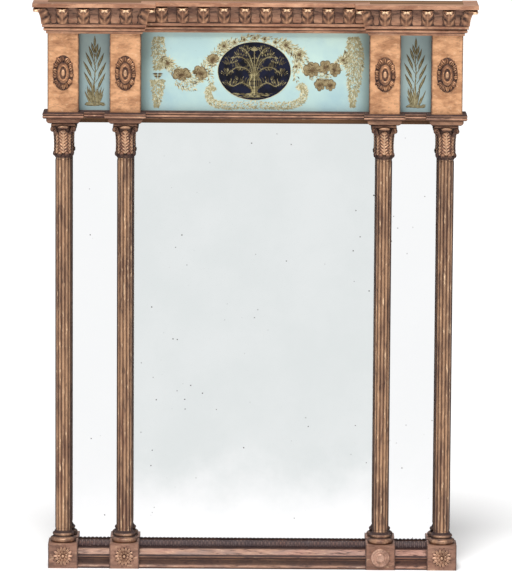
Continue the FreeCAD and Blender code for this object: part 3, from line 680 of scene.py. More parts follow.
# %% One shaft, four times
SHAFT_LOW = SOLIDS["column_bases"][1].z
SHAFT_HIGH = SOLIDS["capitals"][0].z
COLUMN_NAMES = ("outer_left", "inner_left", "inner_right", "outer_right")
COLUMNS = [middle_of(name + "_shaft", 0) for name in COLUMN_NAMES]
REEDS = 14
REED_ROOT, REED_RISE, COLLAR_RADIUS = 12.7, 1.55, 13.6
COLLAR_END, REED_END = 2.4, 3.0
levels = [0.0, 2.2, 2.6, 3.0, 3.6, 4.4, 5.4, 6.6, 8.0]
length = (SHAFT_HIGH - SHAFT_LOW) / MM
levels = levels + [length / 2] + [length - level for level in reversed(levels)]


def reed_rule(x, y, z):
    angle = x * pi
    row = round((y + 1) / 2 * (len(levels) - 1))
    level = levels[row]
    near_end = min(level, length - level)
    share = (angle / tau * REEDS) % 1.0
    arch = sqrt(max(0.0, 1 - (2 * share - 1) ** 2))
    if near_end < COLLAR_END:
        radius = COLLAR_RADIUS
    else:
        from_end = min(1.0, (near_end - COLLAR_END) / REED_END)
        radius = REED_ROOT + REED_RISE * arch * sqrt(max(0.0, 1 - (1 - from_end) ** 2))
    return mm(radius * cos(angle), radius * sin(angle), level)


# Painted shade in the quirks between the reeds, and a painted highlight along the middle of each reed.
def reed_shade_and_highlight(x, y, z):
    share = (x / 2 * REEDS) % 1.0
    from_quirk = min(share, 1 - share)
    return 0.75 if from_quirk < 0.12 else -0.3 * max(0.0, from_quirk - 0.3) / 0.2


shaft = blank(REEDS * 10, len(levels) - 1)
carve(shaft, reed_rule, reed_shade_and_highlight)
mend_normals(shaft)
for name, x in zip(COLUMN_NAMES, COLUMNS):
    twin = copy_at(shaft, Matrix.Translation((x, COLUMN_AXIS, SHAFT_LOW)))
    twin.name = name + "_reeded_shaft"
    hand_over(twin, GILT["column"], [name + "_shaft"], smooth=60)
discard(shaft)

# %% [markdown]
# ## Turned bases
# The base of a column is turned on a lathe: a fat round, a small hollow, a thinner round and a fillet.
# The Screw modifier is the lathe here: it carries a line of points once round the axis.


# %% A lathe, and the bases
def turned(profile, steps, name):
    edges = [(i, i + 1) for i in range(len(profile) - 1)]
    piece = piece_from([(r * MM, 0, z * MM) for r, z in profile], edges, [], name)
    lathe = {"steps": steps, "render_steps": steps, "use_merge_vertices": True, "merge_threshold": 0.01 * MM}
    apply_modifier(piece, "SCREW", **lathe)
    mend_normals(piece)
    return piece


def round_side(radius, low, high, steps=8):
    middle = (low + high) / 2
    half = (high - low) / 2
    angles = [pi * (i / steps - 0.5) for i in range(steps + 1)]
    return [(radius - half + half * cos(a), middle + half * sin(a)) for a in angles]


base_profile = [(0.0, 0.0)] + round_side(22.8, 0.0, 8.6) + [(19.0, 8.8), (17.6, 9.8), (17.4, 10.6)]
base_profile += round_side(18.6, 10.8, 16.6, 6) + [(15.4, 16.8), (15.4, 18.0), (14.4, 20.0), (0.0, 20.0)]
base = turned(base_profile, 48, "base")
# Painted shade on the narrower turnings above the big round.
write_dirt_shade_and_highlight(base, lambda x, y, z: 1.0 if hypot(x, y) < 17.9 * MM and z > 7 * MM else 0.0)
BASE_LOW = SOLIDS["column_bases"][0].z
bases = repeat(base, [(x, COLUMN_AXIS, BASE_LOW) for x in COLUMNS], "turned_bases")
hand_over(bases, GILT["turning"], ["column_bases"], smooth=50)

# %% [markdown]
# ## Capitals
# A capital is a round bell dressed with one broad leaf on each face, veined like a fishbone, and a narrow
# one at each corner. A ring of small curls lies at its foot. The bell is turned, and a leaf is a grid bent
# round the bell.

# %% Bell, leaves and curls
BELL_HIGH = 55.4
BELL = [(15.8, 9.0), (15.3, 20.0), (15.6, 31.0), (16.6, 41.0), (18.4, 50.0), (19.6, BELL_HIGH)]
bell_line = curve_points(BELL, 47)
bell_profile = [(0.0, 0.0), (14.6, 0.0), (15.2, 2.0)]
bell_profile += [(p.x - 1.4, p.y) for p in bell_line] + [(0.0, BELL_HIGH)]
bell = turned(bell_profile, 40, "bell")
# The bell between the leaves is painted dark all over, as shade.
write_dirt_shade_and_highlight(bell, even(1.0))


def bell_radius(height):
    return min(bell_line, key=lambda p: abs(p.y - height)).x


def round_the_bell(across, height, radius):
    angle = across / radius
    return mm(radius * sin(angle), -radius * cos(angle), height)


def fishbone_relief(u, v):
    rib = 0.6 * ridge(u, 0.10)
    lumps = 0.7 + 0.45 * cos(tau * 1.5 * u + 11 * v)
    bones = 0.95 * cos(tau * (7 * v - 1.1 * abs(u))) * (1 - ridge(u, 0.12)) * lumps
    return 1.3 * (1 - u * u) + rib + bones


def leaf_on_bell(half_width, low, high):
    def rule(x, y, z):
        v = (y + 1) / 2
        height = low + (high - low) * v
        scallop = 0.92 - 0.08 * cos(tau * 7 * v)
        half = half_width * scallop * (1.0 if v < 0.8 else sqrt(max(0.02, 1 - ((v - 0.8) / 0.205) ** 2)))
        tip = 0.0 if v < 0.82 else 2.4 * ((v - 0.82) / 0.18) ** 2
        radius = bell_radius(height) - 0.6 + 0.9 * fishbone_relief(x, v) + tip
        return round_the_bell(x * half, height, radius)

    return rule


# Painted shade in the grooves between the veins, and a painted highlight on the raised ones.
def fishbone_shade_and_highlight(x, y, z):
    return max(-0.45, min(1.0, 0.95 - 0.85 * fishbone_relief(x, (y + 1) / 2)))


broad_leaf = sheet(23, 58, leaf_on_bell(9.0, 8.5, 48.0), fishbone_shade_and_highlight, 0.8 * MM)
narrow_leaf = sheet(15, 58, leaf_on_bell(4.6, 7.5, 46.0), fishbone_shade_and_highlight, 0.8 * MM)
# Each curl gets painted shade on its lower half and less above.
curl = egg(12, 8, (0, -16.0, 6.4), (4.0, 3.2, 4.2), lambda x, y, z: 0.9 if z < 0.25 else 0.3)
capital_parts = [bell]
for quarter in range(4):
    capital_parts += [copy_at(broad_leaf, turn(90 * quarter)), copy_at(narrow_leaf, turn(45 + 90 * quarter))]
capital_parts += [copy_at(curl, turn(22.5 + 45 * index)) for index in range(8)]
discard(broad_leaf, narrow_leaf, curl)
print("bell parts:", len(capital_parts))

# %% [markdown]
# Scrolls stand over the corners and buds over the faces, under a slab with hollow sides. A scroll is a
# line wound into a spiral. The slab is a circle whose points are pushed out to its corners.


# %% Scrolls, buds and the slab
def scroll_line(turns, steps):
    points = []
    for index in range(steps):
        share = index / (steps - 1)
        angle = pi * (0.5 - 2 * turns * share)
        radius = 4.4 * (1 - share) + 0.8 * share
        points.append((radius * cos(angle), radius * sin(angle)))
    return points


def corner_scroll():
    wire = new_object(bpy.ops.curve.primitive_bezier_curve_add)
    wire.data.splines.clear()
    spline = wire.data.splines.new("POLY")
    spine = [(-6.5, -9.0), (-5.4, -3.0), (-3.4, 1.6), (-1.6, 3.8)] + scroll_line(1.35, 24)
    spline.points.add(len(spine) - 1)
    for point, (out, rise) in zip(spline.points, spine):
        point.co = (0, -(24.4 + out) * MM, (49.0 + rise) * MM, 1)
    wire.data.dimensions = "3D"
    wire.data.bevel_depth = 1.2 * MM
    wire.data.bevel_resolution = 2
    wire.data.use_fill_caps = True
    choose(wire)
    bpy.ops.object.convert(target="MESH")
    ribbon = bpy.context.object
    ribbon.data.transform(Matrix.Diagonal((2.6, 1, 1, 1)))
    write_dirt_shade_and_highlight(ribbon, even(0.7))
    return ribbon


ribbon = corner_scroll()
# A bud has painted shade underneath and a painted highlight on top.
bud = egg(16, 10, (0, -18.8, 52.6), (9.0, 2.6, 3.2), lambda x, y, z: 0.7 if z < -0.3 else -0.2)
slab = new_object(bpy.ops.mesh.primitive_circle_add, vertices=48, radius=1, fill_type="NGON")


def slab_rule(x, y, z):
    angle = atan2(y, x)
    across = max(abs(cos(angle)), abs(sin(angle)))
    side = tan(acos(min(1.0, across)))
    reach = 20.8 / across - 3.2 * (1 - side * side)
    return mm(x * reach, y * reach, BELL_HIGH)


carve(slab, slab_rule, even(0.5))
apply_modifier(slab, "SOLIDIFY", thickness=3.6 * MM, offset=-1)
mend_normals(slab)
slab_low = min(p.co.z for p in slab.data.vertices)
slab.data.transform(Matrix.Translation((0, 0, BELL_HIGH * MM - slab_low)))
apply_modifier(slab, "BEVEL", width=1.0 * MM, segments=3, limit_method="ANGLE")
capital_parts.append(slab)
for quarter in range(4):
    capital_parts += [copy_at(ribbon, turn(45 + 90 * quarter)), copy_at(bud, turn(90 * quarter))]
discard(ribbon, bud)
capital = join(capital_parts, "capital")
CAPITAL_LOW = SOLIDS["capitals"][0].z
capitals = repeat(capital, [(x, COLUMN_AXIS, CAPITAL_LOW) for x in COLUMNS], "carved_capitals")
hand_over(capitals, GILT["capital"], ["capitals"])

# %% [markdown]
# ## Oval paterae and rosettes
# An oval flower sits on each frieze block, and round flowers sit on the plinth blocks. Both are made of
# petals, rings and flat plates. A petal is a ball squeezed into shape, copied round. What would lie
# behind the face of the block is trimmed off.


# %% Petals, rings and plates
def petal(long, wide, high, foot, dip, pointed=0.0, dirt_and_shade=0.0):
    """A petal that lies along X from its foot outwards, with Y as its height."""

    def rule(x, y, z):
        share = (x + 1) / 2
        width = wide * (0.5 + 0.5 * sin(pi * min(1.0, share * 0.9))) * (1 - pointed * share**3)
        crease = dip * ridge(z, 0.25) * max(0.0, y)
        return mm(foot + long * share, -(y - crease) * high, z * width)

    # Painted shade low on the petal and along its crease, a painted highlight on its raised top, plus the
    # caller's dirt and shade.
    def depth(x, y, z):
        return max(-0.5, min(1.0, 0.85 - 1.5 * y + 1.1 * ridge(z, 0.18) + dirt_and_shade))

    return ball(14, 10, rule, depth)


def oval_ring(half_wide, half_high, tube, face):
    sizes = {"major_segments": 48, "minor_segments": 10, "major_radius": 1, "minor_radius": 0.1}
    ring = new_object(bpy.ops.mesh.primitive_torus_add, **sizes)

    def rule(x, y, z):
        angle = atan2(y, x)
        over = (hypot(x, y) - 1) / 0.1 * tube
        rise = z / 0.1 * tube
        return mm(cos(angle) * (half_wide + over), -(face + rise), sin(angle) * (half_high + over))

    carve(ring, rule)
    return ring


def round_plate(half_wide, half_high, thick, dark):
    plate = new_object(bpy.ops.mesh.primitive_cylinder_add, vertices=48, radius=1, depth=2)
    carve(plate, lambda x, y, z: mm(x * half_wide, -(z + 1) / 2 * thick, y * half_high), even(dark))
    return plate


def trim_back(piece):
    """What lies behind the face of its block is cut away."""
    choose(piece)
    bpy.ops.object.mode_set(mode="EDIT")
    bpy.ops.mesh.select_all(action="SELECT")
    bpy.ops.mesh.bisect(plane_co=(0, 0, 0), plane_no=(0, 1, 0), clear_outer=True, use_fill=False)
    bpy.ops.object.mode_set(mode="OBJECT")


print("petal helpers ready")

# %% [markdown]
# The oval flower is a wreath of leaves that lean a little, by a seeded chance, round a raised ring and a
# boss.

# %% Oval paterae
WREATH_LEAVES = 20


def wreath_lobe(angle, lean, long, wide, high, dirt_and_shade):
    """One leaf of the oval wreath: its foot is on the inner ring and it leans off the straight way out."""
    foot = Vector((10.2 * cos(angle), 0, 17.6 * sin(angle)))
    out = atan2(sin(angle) * 0.65, cos(angle)) + lean
    lobe = petal(long, wide, high, 0.0, 0.5, 0.3, dirt_and_shade)
    lobe.data.transform(Matrix.Translation(foot * MM) @ Matrix.Rotation(-out, 4, "Y"))
    return lobe


def patera():
    # The back plate is painted dark, as shade round the wreath.
    parts = [round_plate(17.6, 30.0, 0.9, 1.0), round_plate(10.8, 18.6, 2.3, 0.3)]
    sway = random.Random(5)
    for index in range(WREATH_LEAVES):
        angle = tau * (index + 0.5 * sway.random()) / WREATH_LEAVES
        long = (7.2 + 4.8 * abs(sin(angle))) * (0.92 + 0.14 * sway.random())
        lean = 0.9 * (sway.random() - 0.5)
        wide, high = 3.0 + 1.6 * sway.random(), 3.6 + 2.0 * sway.random()
        parts.append(wreath_lobe(angle, lean, long, wide, high, 0.9 * sway.random()))
    rim = oval_ring(7.0, 12.4, 1.5, 2.6)
    groove = oval_ring(10.4, 18.2, 1.0, 1.9)
    # The groove and the small plate under the boss are painted dark as shade.
    write_dirt_shade_and_highlight(groove, even(1.0))
    parts += [rim, groove, round_plate(5.8, 11.2, 2.6, 1.0)]
    # The boss has a painted highlight on its front and painted shade behind.
    parts.append(egg(20, 12, (0, 0, 0), (3.6, 5.0, 7.0), lambda x, y, z: 0.8 if y > -0.5 else -0.4))
    return join(parts, "patera")


oval = patera()
trim_back(oval)
FRIEZE_MIDDLE = middle_of("frieze_paterae", 2)
paterae = repeat(oval, [(x, -END_FACE, FRIEZE_MIDDLE) for x in COLUMNS], "oval_paterae")
hand_over(paterae, GILT["patera"], ["frieze_paterae"])

# %% [markdown]
# A round flower has two tiers of petals. One plinth block carries only a turned boss, a later mend.


# %% Rosettes and the boss
def rosette():
    # The plate behind the petals is painted dark, as shade between them.
    parts = [round_plate(15.0, 15.0, 0.8, 0.9)]
    tiers = ((14, 5.0, 14.0, 2.9, 2.8), (9, 2.0, 9.0, 2.4, 4.0))
    for tier, (count, foot, long, wide, high) in enumerate(tiers):
        for index in range(count):
            one = petal(long, wide, high, foot, 0.35, 0.5)
            one.data.transform(turn(360 * (index + 0.5 * tier) / count, "Y"))
            parts.append(one)
    # The boss has a painted highlight on its front and painted shade behind.
    parts.append(egg(16, 10, (0, 0, 0), (3.0, 5.0, 3.0), lambda x, y, z: 0.7 if y > -0.5 else -0.4))
    return join(parts, "rosette")


flower = rosette()
trim_back(flower)
PLINTH_FACE = -SOLIDS["inner_left_plinth_block"][0].y
PLINTH_MIDDLE = SOLIDS["inner_left_plinth_block"][1].z / 2
boss_profile = [(0.0, 5.8), (4.0, 5.5), (6.5, 4.6), (7.6, 3.2), (7.9, 2.0), (9.0, 1.8), (9.4, 2.6)]
boss_profile += [(10.4, 2.8), (11.2, 2.0), (12.4, 1.9)]
for quarter in range(4, -1, -1):
    angle = pi * quarter / 4
    boss_profile.append((14.3 + 1.7 * cos(angle), 2.0 + 1.5 * sin(angle)))
boss_profile += [(16.0, 0.0), (0.0, 0.0)]
boss = turned(boss_profile, 48, "boss")
boss.data.transform(turn(90, "X"))
MENDED = COLUMNS[2]
flower_places = [(x, -PLINTH_FACE, PLINTH_MIDDLE) for x in COLUMNS if x != MENDED]
plinth_flowers = repeat(flower, flower_places, "plinth_flowers")
hand_over(plinth_flowers, GILT["rosette"], ["plinth_rosettes"])
boss.data.transform(Matrix.Translation((MENDED, -PLINTH_FACE, PLINTH_MIDDLE)))
boss.name = "turned_boss"
hand_over(boss, GILT["boss"])

# %% [markdown]
# ## Leaf tips on the base
# A strip of small upright leaf tips runs along the top of each base moulding, against the glass. It
# repeats about a hundred times, so a tip has few faces: a small grid bent over the round of the strip,
# copied by an Array modifier.

# %% One tip, three rows
strip_low, strip_high = SOLIDS["leaf_strips"]
STRIP_LOW, STRIP_HIGH = strip_low.z, strip_high.z
STRIP_FRONT, STRIP_BACK = -strip_low.y, -strip_high.y
PITCH = 6.4 * MM


def tip_rule(x, y, z):
    v = (y + 1) / 2
    depth = STRIP_FRONT + 0.4 * MM + (STRIP_BACK - STRIP_FRONT) * v
    rise = STRIP_LOW + 0.5 * MM + (STRIP_HIGH - STRIP_LOW) * (1 - (1 - v) ** 1.7)
    half = 0.5 * PITCH * (0.96 if v < 0.55 else 0.96 * sqrt(max(0.0, 1 - ((v - 0.55) / 0.46) ** 2)))
    swell = 1.3 * MM * (1 - 0.8 * x * x) * (0.5 + 0.5 * sin(pi * min(1.0, v + 0.15)))
    return Vector((x * half, -depth - 0.3 * swell, rise + swell))


# Painted shade at the sides of each tip, at its foot and over its upper part, against the glass.
def tip_shade(x, y, z):
    return 1.3 * abs(x) ** 2 + (0.8 if y < -0.8 else 0.0) + (0.9 if y > 0.2 else 0.0) + 0.15


tip = sheet(4, 4, tip_rule, tip_shade, 1.2 * MM)
strips = []
for side in ("left", "centre", "right"):
    low, high = (corner.x for corner in SOLIDS[side + "_base_moulding"])
    count = int((high - low) / PITCH)
    step = (high - low) / count
    row = copy_at(tip, Matrix.Translation((low + step / 2, 0, 0)))
    apply_modifier(row, "ARRAY", count=count, use_relative_offset=False, use_constant_offset=True,
                   constant_offset_displace=(step, 0, 0))
    strips.append(row)
discard(tip)
leaf_tips = join(strips, "leaf_tips")
hand_over(leaf_tips, GILT["strip"])

# %% [markdown]
# ## Painting the frieze
# The frieze is painted with swags of flowers, hanging sprays and a scroll, in cream, khaki, tan and brown.
# Each brush mark is one small pointed face, and the petals of the big blossoms are rounder ones. Marks are
# laid along lines and round flower centres by a seeded chance, so they come out the same each time. The
# tones lie in thin layers just in front of the glass. Places are in millimetres, across from the middle
# and up from the lower edge of the frieze.

# %% Brush marks
chance = random.Random(11)
GLASS_FACE = -SOLIDS["centre_frieze_glass"][0].y
FULL_TURN, HALF_TURN, UPWARD = 6.283, 3.1416, 1.57
TONES = ("cream", "khaki", "fold", "tan", "brown", "oval_gold", "oval_light", "reed", "reed_light")
marks = {tone: [] for tone in TONES}
BRUSH = ((0.0, 0.0), (0.25, 0.46), (0.62, 0.42), (1.0, 0.0), (0.62, -0.42), (0.25, -0.46))
ROUND_SIDE = ((0.3, 0.34), (0.68, 0.5), (0.92, 0.34))
ROUND = ((0.0, 0.0), *ROUND_SIDE, (1.0, 0.0), *((along, -across) for along, across in reversed(ROUND_SIDE)))


def mark(tone, x, z, length, width, angle):
    marks[tone].append((x, z, length, width, angle))


def bloom(x, z, radius, petals):
    """An open flower: cream rays, khaki rays between them and a brown heart."""
    start = chance.random() * 6.28
    for index in range(petals):
        angle = start + FULL_TURN * index / petals
        long = radius * (0.8 + 0.35 * chance.random())
        mark("cream", x, z, long * 1.25, radius * 0.22, angle)
        mark("khaki", x, z, long * 0.82, radius * 0.20, angle + HALF_TURN / petals)
    for index in range(7):
        angle = start + FULL_TURN * index / 7
        mark("brown", x, z, radius * (0.3 + 0.2 * chance.random()), radius * 0.16, angle)


def winged_bloom(x, z, wide, high, tilt):
    """A blossom seen from the side: broad tan petals with brown edges and folds."""
    petals = ((0.05, 0.54), (0.75, 0.58), (1.57, 0.56), (2.4, 0.58), (3.1, 0.54), (4.15, 0.40), (5.25, 0.40))
    for lean, share in petals:
        angle = tilt + lean
        reach = hypot(cos(angle) * wide, sin(angle) * high)
        size = reach * share * (0.92 + 0.16 * chance.random())
        mark("fold", x, z, size * 1.06, size * 0.80, angle)
        mark("tan", x, z, size, size * 0.66, angle)
        for fold in (-0.22, 0.16):
            mark("brown", x, z, size * (0.45 + 0.36 * chance.random()), size * 0.09, angle + fold)
    mark("brown", x - wide * 0.1, z, wide * 0.2, high * 0.12, tilt)


def lace(points, widths, count, length=4.6, width=1.5, tones=("cream",) * 6 + ("khaki",) * 5 + ("brown",)):
    """Small leafy marks along a line of points, leaning forward. Widths are half the spread on the way."""
    line = curve_points(points, 60)
    spread = curve_points([(i, w) for i, w in enumerate(widths)], 60)
    for index in range(count):
        place = chance.random() * 58
        low = int(place)
        here = line[low].lerp(line[low + 1], place - low)
        ahead = line[low + 1] - line[low]
        lean = atan2(ahead.y, ahead.x)
        off = spread[low].y * (2 * chance.random() - 1)
        size = 0.55 + 0.75 * chance.random()
        outward = 1 if off > 0 else -1
        side = outward if abs(off) > 0.4 * spread[low].y else chance.choice((-1, 1))
        out = side * (0.1 + 1.1 * chance.random())
        mark(chance.choice(tones), here.x - sin(lean) * off, here.y + cos(lean) * off,
             length * size, width * size, lean + out)


def brush_layer(tone, finish, lift, outline=BRUSH):
    points, faces = [], []
    for x, z, length, width, angle in marks[tone]:
        start = len(points)
        rise = lift + chance.random() * 0.03
        for along, across in outline:
            px = x + cos(angle) * along * length - sin(angle) * across * width
            pz = z + sin(angle) * along * length + cos(angle) * across * width
            points.append((px * MM, -GLASS_FACE - rise * MM, FRIEZE_LOW + pz * MM))
        faces.append(tuple(range(start, len(points))))
    hand_over(piece_from(points, [], faces, tone + "_brush_marks"), finish)


print("brush tones:", len(TONES))

# %% [markdown]
# The swags hang from the two end sprays and meet over the oval in the middle. Their flowers are placed
# one by one, and the lace of small leaves between them follows the line of the swag.

# %% Swags, sprays and the scroll
left_swag = [(-160, 92), (-149, 81), (-136, 68), (-122, 60), (-104, 58), (-90, 64), (-76, 84), (-62, 100)]
left_swag += [(-50, 110), (-34, 117), (-1, 124)]
right_swag = [(-1, 124), (34, 118), (52, 113), (64, 105), (76, 95), (84, 78), (97, 66), (112, 62), (126, 68)]
right_swag += [(140, 76), (150, 88), (160, 98)]
FINE = ("cream", "cream", "cream", "khaki")
SPRAY = ("cream",) * 5 + ("khaki",) * 7
for line in (left_swag, right_swag):
    lace(line, (6, 9, 9, 8, 7), 900, 5.4, 1.5)
lace([(-80, 80), (-76, 60), (-74, 46)], (5, 4, 2), 70)
lace([(70, 88), (70, 70), (69, 52)], (5, 5, 2), 90)
lace([(-136, 50), (-120, 44), (-100, 42)], (6, 9, 5), 150)
blooms = [(-149, 81, 12.5, 14), (-74, 86, 11.5, 13), (-53, 111, 10.5, 13), (52, 113, 10.5, 13)]
blooms += [(75, 97, 12, 14), (150, 88, 10, 13), (70, 77, 7, 10)]
for flower in blooms:
    bloom(*flower)
for x, z in ((-35, 117), (-19, 122), (-1, 125), (16, 123), (34, 118)):
    bloom(x, z, 6.5, 9)
blossoms = [(-125, 60, 30, 21, 0.1), (-94, 63, 21, 25, -0.4), (-71, 88, 17, 18, 0.3), (98, 69, 27, 26, 0.3)]
blossoms += [(120, 74, 17, 25, 0.5), (135, 70, 17, 26, -0.4), (111, 44, 17, 22, 0.3), (127, 44, 17, 22, -0.3)]
for blossom in blossoms:
    winged_bloom(*blossom)
lace([(-165, 127), (-165, 100), (-166, 70)], (8, 11, 4), 640, 4.2, 1.4, SPRAY)
lace([(-166, 54), (-166, 34), (-168, 6)], (11, 9, 2), 560, 4.2, 1.4, SPRAY)
for row, half in enumerate((9.0, 8.0, 6.0, 3.5)):
    for side in (-1, 1):
        way = 0.0 if side > 0 else HALF_TURN
        mark("khaki" if row % 2 else "brown", -166, 63 - 2.4 * row, half, 3.0, way)
lace([(167, 129), (169, 96), (169, 62), (166, 8)], (8, 15, 12, 2), 1550, 4.4, 1.4, SPRAY)
scroll_path = [(-68, 34), (-73, 40), (-80, 34), (-78, 22), (-69, 13), (-44, 9), (-1, 11), (38, 9), (68, 12)]
scroll_path += [(81, 22), (84, 36), (79, 44), (72, 38)]
lace(scroll_path, (2, 5, 5.5, 5.5, 5.5, 5, 2), 2400, 3.2, 1.2, FINE)
lace([(x, z - 4.5) for x, z in scroll_path[4:9]], (1, 1, 1), 160, 4.0, 1.0, ("khaki",))
print({tone: len(found) for tone, found in marks.items() if found})

# %% [markdown]
# ## The oval in the middle
# The dark oval holds a small gold picture. Here it is a footed vase with scrolling stems and clumps of
# leaves on both sides and a palmette on top, a design of this lesson's own.

# %% Vase, stems and leaves
OVAL_X, OVAL_Z, OVAL_WIDE, OVAL_HIGH = -1.5, 68.6, 62.0, 49.6


def gold_mark(tone, x, z, length, width, angle):
    end = ((x + cos(angle) * length) / (OVAL_WIDE - 2), (z + sin(angle) * length) / (OVAL_HIGH - 2))
    if end[0] ** 2 + end[1] ** 2 < 1:
        mark(tone, OVAL_X + x, OVAL_Z + z, length, width, angle)


def stem(points, leaf_long, leaf_wide):
    """A thin stem with leaves on both sides that shrink towards its end."""
    line = curve_points(points, 22)
    for index in range(21):
        step = line[index + 1] - line[index]
        lean = atan2(step.y, step.x)
        x, z = line[index]
        gold_mark("oval_light", x, z, step.length * 1.5, 0.9, lean)
        size = (1.1 - 0.03 * index) * (0.8 + 0.4 * chance.random())
        side = 1 if index % 2 else -1
        gold_mark("oval_gold", x, z, leaf_long * size, leaf_wide * size, lean + side * 0.8)
        gold_mark("oval_gold", x, z, leaf_long * size * 0.7, leaf_wide * size * 0.8, lean - side * 1.0)


def leaf_cloud(x, z, wide, high, count):
    """A clump of fine upward leaves, mirrored to both sides of the vase."""
    for index in range(count):
        across = wide * (2 * chance.random() - 1)
        rise = high * (2 * chance.random() - 1)
        if (across / wide) ** 2 + (rise / high) ** 2 > 1:
            continue
        long = 3.2 + 2.6 * chance.random()
        lean = UPWARD - across / wide * 0.9 + 0.5 * (chance.random() - 0.5)
        tone = "oval_light" if chance.random() < 0.16 else "oval_gold"
        gold_mark(tone, x + across, z + rise, long, 1.1, lean)
        gold_mark(tone, -x - across, z + rise, long, 1.1, pi - lean)


for side in (-1, 1):
    stem([(2 * side, -8), (14 * side, 4), (30 * side, 6), (44 * side, -4)], 5.0, 1.5)
    stem([(2 * side, -8), (10 * side, 14), (24 * side, 24), (40 * side, 22)], 5.0, 1.5)
    stem([(side, -6), (4 * side, 14), (12 * side, 32), (22 * side, 40)], 4.0, 1.3)
    stem([(9 * side, -26), (22 * side, -20), (36 * side, -26), (46 * side, -20)], 4.0, 1.3)
stem([(0, -6), (0, 14), (0, 40)], 5.0, 1.4)
for way in (0.3, 0.75, 1.2, 1.57, 1.94, 2.39, 2.84):
    gold_mark("oval_light", 0, 35, 8.0, 2.2, way)
clouds = [(41, 16, 12, 7, 60), (24, 27, 11, 7, 60), (46, -4, 9, 6, 45), (27, 5, 10, 6, 50)]
clouds += [(17, 36, 8, 6, 55), (8, 14, 8, 8, 45), (40, -22, 12, 5, 55), (24, -16, 9, 5, 40)]
for cloud in clouds:
    leaf_cloud(*cloud)
vase_sides = [(-41, 10), (-39, 7), (-35, 3.5), (-31, 6), (-25, 11), (-18, 12), (-12, 8), (-9, 6), (-6, 9)]
for (low, low_half), (high, high_half) in zip(vase_sides, vase_sides[1:]):
    for index in range(-3, 4):
        x0, x1 = index / 3 * low_half, index / 3 * high_half
        tone = "oval_light" if index in (-2, 0) else "oval_gold"
        gold_mark(tone, x0, low, hypot(x1 - x0, high - low) * 1.25, 3.0, atan2(high - low, x1 - x0))
for index in range(150):
    x = -44 + 88 * chance.random()
    tone = chance.choice(("oval_gold", "oval_gold", "oval_light"))
    z, long = -46 + 8 * chance.random(), 5 + 5 * chance.random()
    gold_mark(tone, x, z, long, 0.8, 0.06 * (chance.random() - 0.5))
print({tone: len(found) for tone, found in marks.items() if tone.startswith("oval")})

# %% [markdown]
# Each tone becomes one piece of many small faces. The layers lie a few hundredths of a millimetre apart:
# the ground of the oval over the swags, and its gold over the ground.


# %% Paints and layers
def flat_oval(half_wide, half_high, lift, name, finish):
    plate = new_object(bpy.ops.mesh.primitive_circle_add, vertices=96, radius=1, fill_type="NGON")
    carve(plate, lambda x, y, z: Vector(((OVAL_X + x * half_wide) * MM, -GLASS_FACE - lift * MM,
                                         FRIEZE_LOW + (OVAL_Z + y * half_high) * MM)))
    plate.name = name
    hand_over(plate, finish)


def flat_paint(name, pale, deep, scale):
    paint = Finish(name, IOR=1.5, Specular_IOR_Level=0.15, Roughness=0.5)
    cloud = paint.noise(scale, 4.0, 0.6).ease(0.38, 0.64)
    paint.feed("Base Color", paint.mix(cloud, colour(*pale), colour(*deep)))
    return paint.material


cream_paint = flat_paint("cream_paint", (224, 218, 184), (200, 192, 154), 160.0)
khaki_paint = flat_paint("khaki_paint", (180, 172, 136), (148, 138, 102), 160.0)
tan_paint = flat_paint("tan_paint", (162, 146, 110), (128, 110, 78), 160.0)
brown_paint = flat_paint("brown_paint", (112, 90, 64), (80, 62, 44), 160.0)
navy_paint = flat_paint("navy_paint", (24, 27, 48), (14, 14, 22), 60.0)
oval_gold = flat_paint("oval_gold_paint", (110, 100, 70), (78, 68, 48), 120.0)
oval_light = flat_paint("oval_light_paint", (176, 164, 122), (140, 126, 88), 120.0)
brush_layer("cream", cream_paint, 0.10)
brush_layer("khaki", khaki_paint, 0.16)
brush_layer("fold", brown_paint, 0.18, outline=ROUND)
brush_layer("tan", tan_paint, 0.22, outline=ROUND)
brush_layer("brown", brown_paint, 0.26)
flat_oval(OVAL_WIDE + 0.9, OVAL_HIGH + 0.9, 0.30, "oval_rim", cream_paint)
flat_oval(OVAL_WIDE, OVAL_HIGH, 0.32, "oval_ground", navy_paint)
brush_layer("oval_gold", oval_gold, 0.36)
brush_layer("oval_light", oval_light, 0.42)

# %% [markdown]
# ## Reeds on the side glasses
# The two narrow glasses each show a water plant: a tall stem with long blades leaning out in pairs over a
# tuft of grass. The marks are laid the same way, longer and thinner, with pale edges on the dark blades.

# %% Water plants
for sign in (-1, 1):
    middle = sign * side_centre / MM

    def blade(x, z, length, width, angle):
        mark("reed", middle + x, z, length, width, angle)
        mark("reed_light", middle + x + 0.5, z, length * 0.96, width * 0.3, angle + 0.06)

    for index in range(16):
        blade(0.8 * sin(index), 10 + 6.6 * index, 9, 2.4, UPWARD + 0.08 * sin(2 * index))
    blade(0, 108, 20, 4.6, UPWARD)
    for z, long, lean in ((36, 36, 1.0), (54, 37, 0.98), (71, 34, 1.05), (86, 28, 1.15), (98, 21, 1.25)):
        for side in (-1, 1):
            drop = 3.0 + 1.5 * (side > 0)
            way = lean if side > 0 else pi - lean
            mark("reed", middle, z - 4 - drop, long * 0.6, 1.2, way)
            foot_x, foot_z = cos(way) * long * 0.25, z - drop + sin(way) * long * 0.2
            blade(foot_x, foot_z, long * 0.85, 5.0, way + 0.1 * side)
    for index in range(26):
        off = -15 + 30 * chance.random()
        foot_z, long = 9 + 3 * chance.random(), (44 - abs(off)) * (0.5 + 0.5 * chance.random())
        blade(off * 0.5, foot_z, long, 2.6, UPWARD - off * 0.03)
    for index in range(34):
        blade(-18 + 30 * chance.random(), 8 + 4 * chance.random(), 8, 2.8, 0.3 * (chance.random() - 0.5))
reed_paint = flat_paint("reed_paint", (124, 108, 74), (92, 78, 52), 160.0)
brush_layer("reed", reed_paint, 0.10)
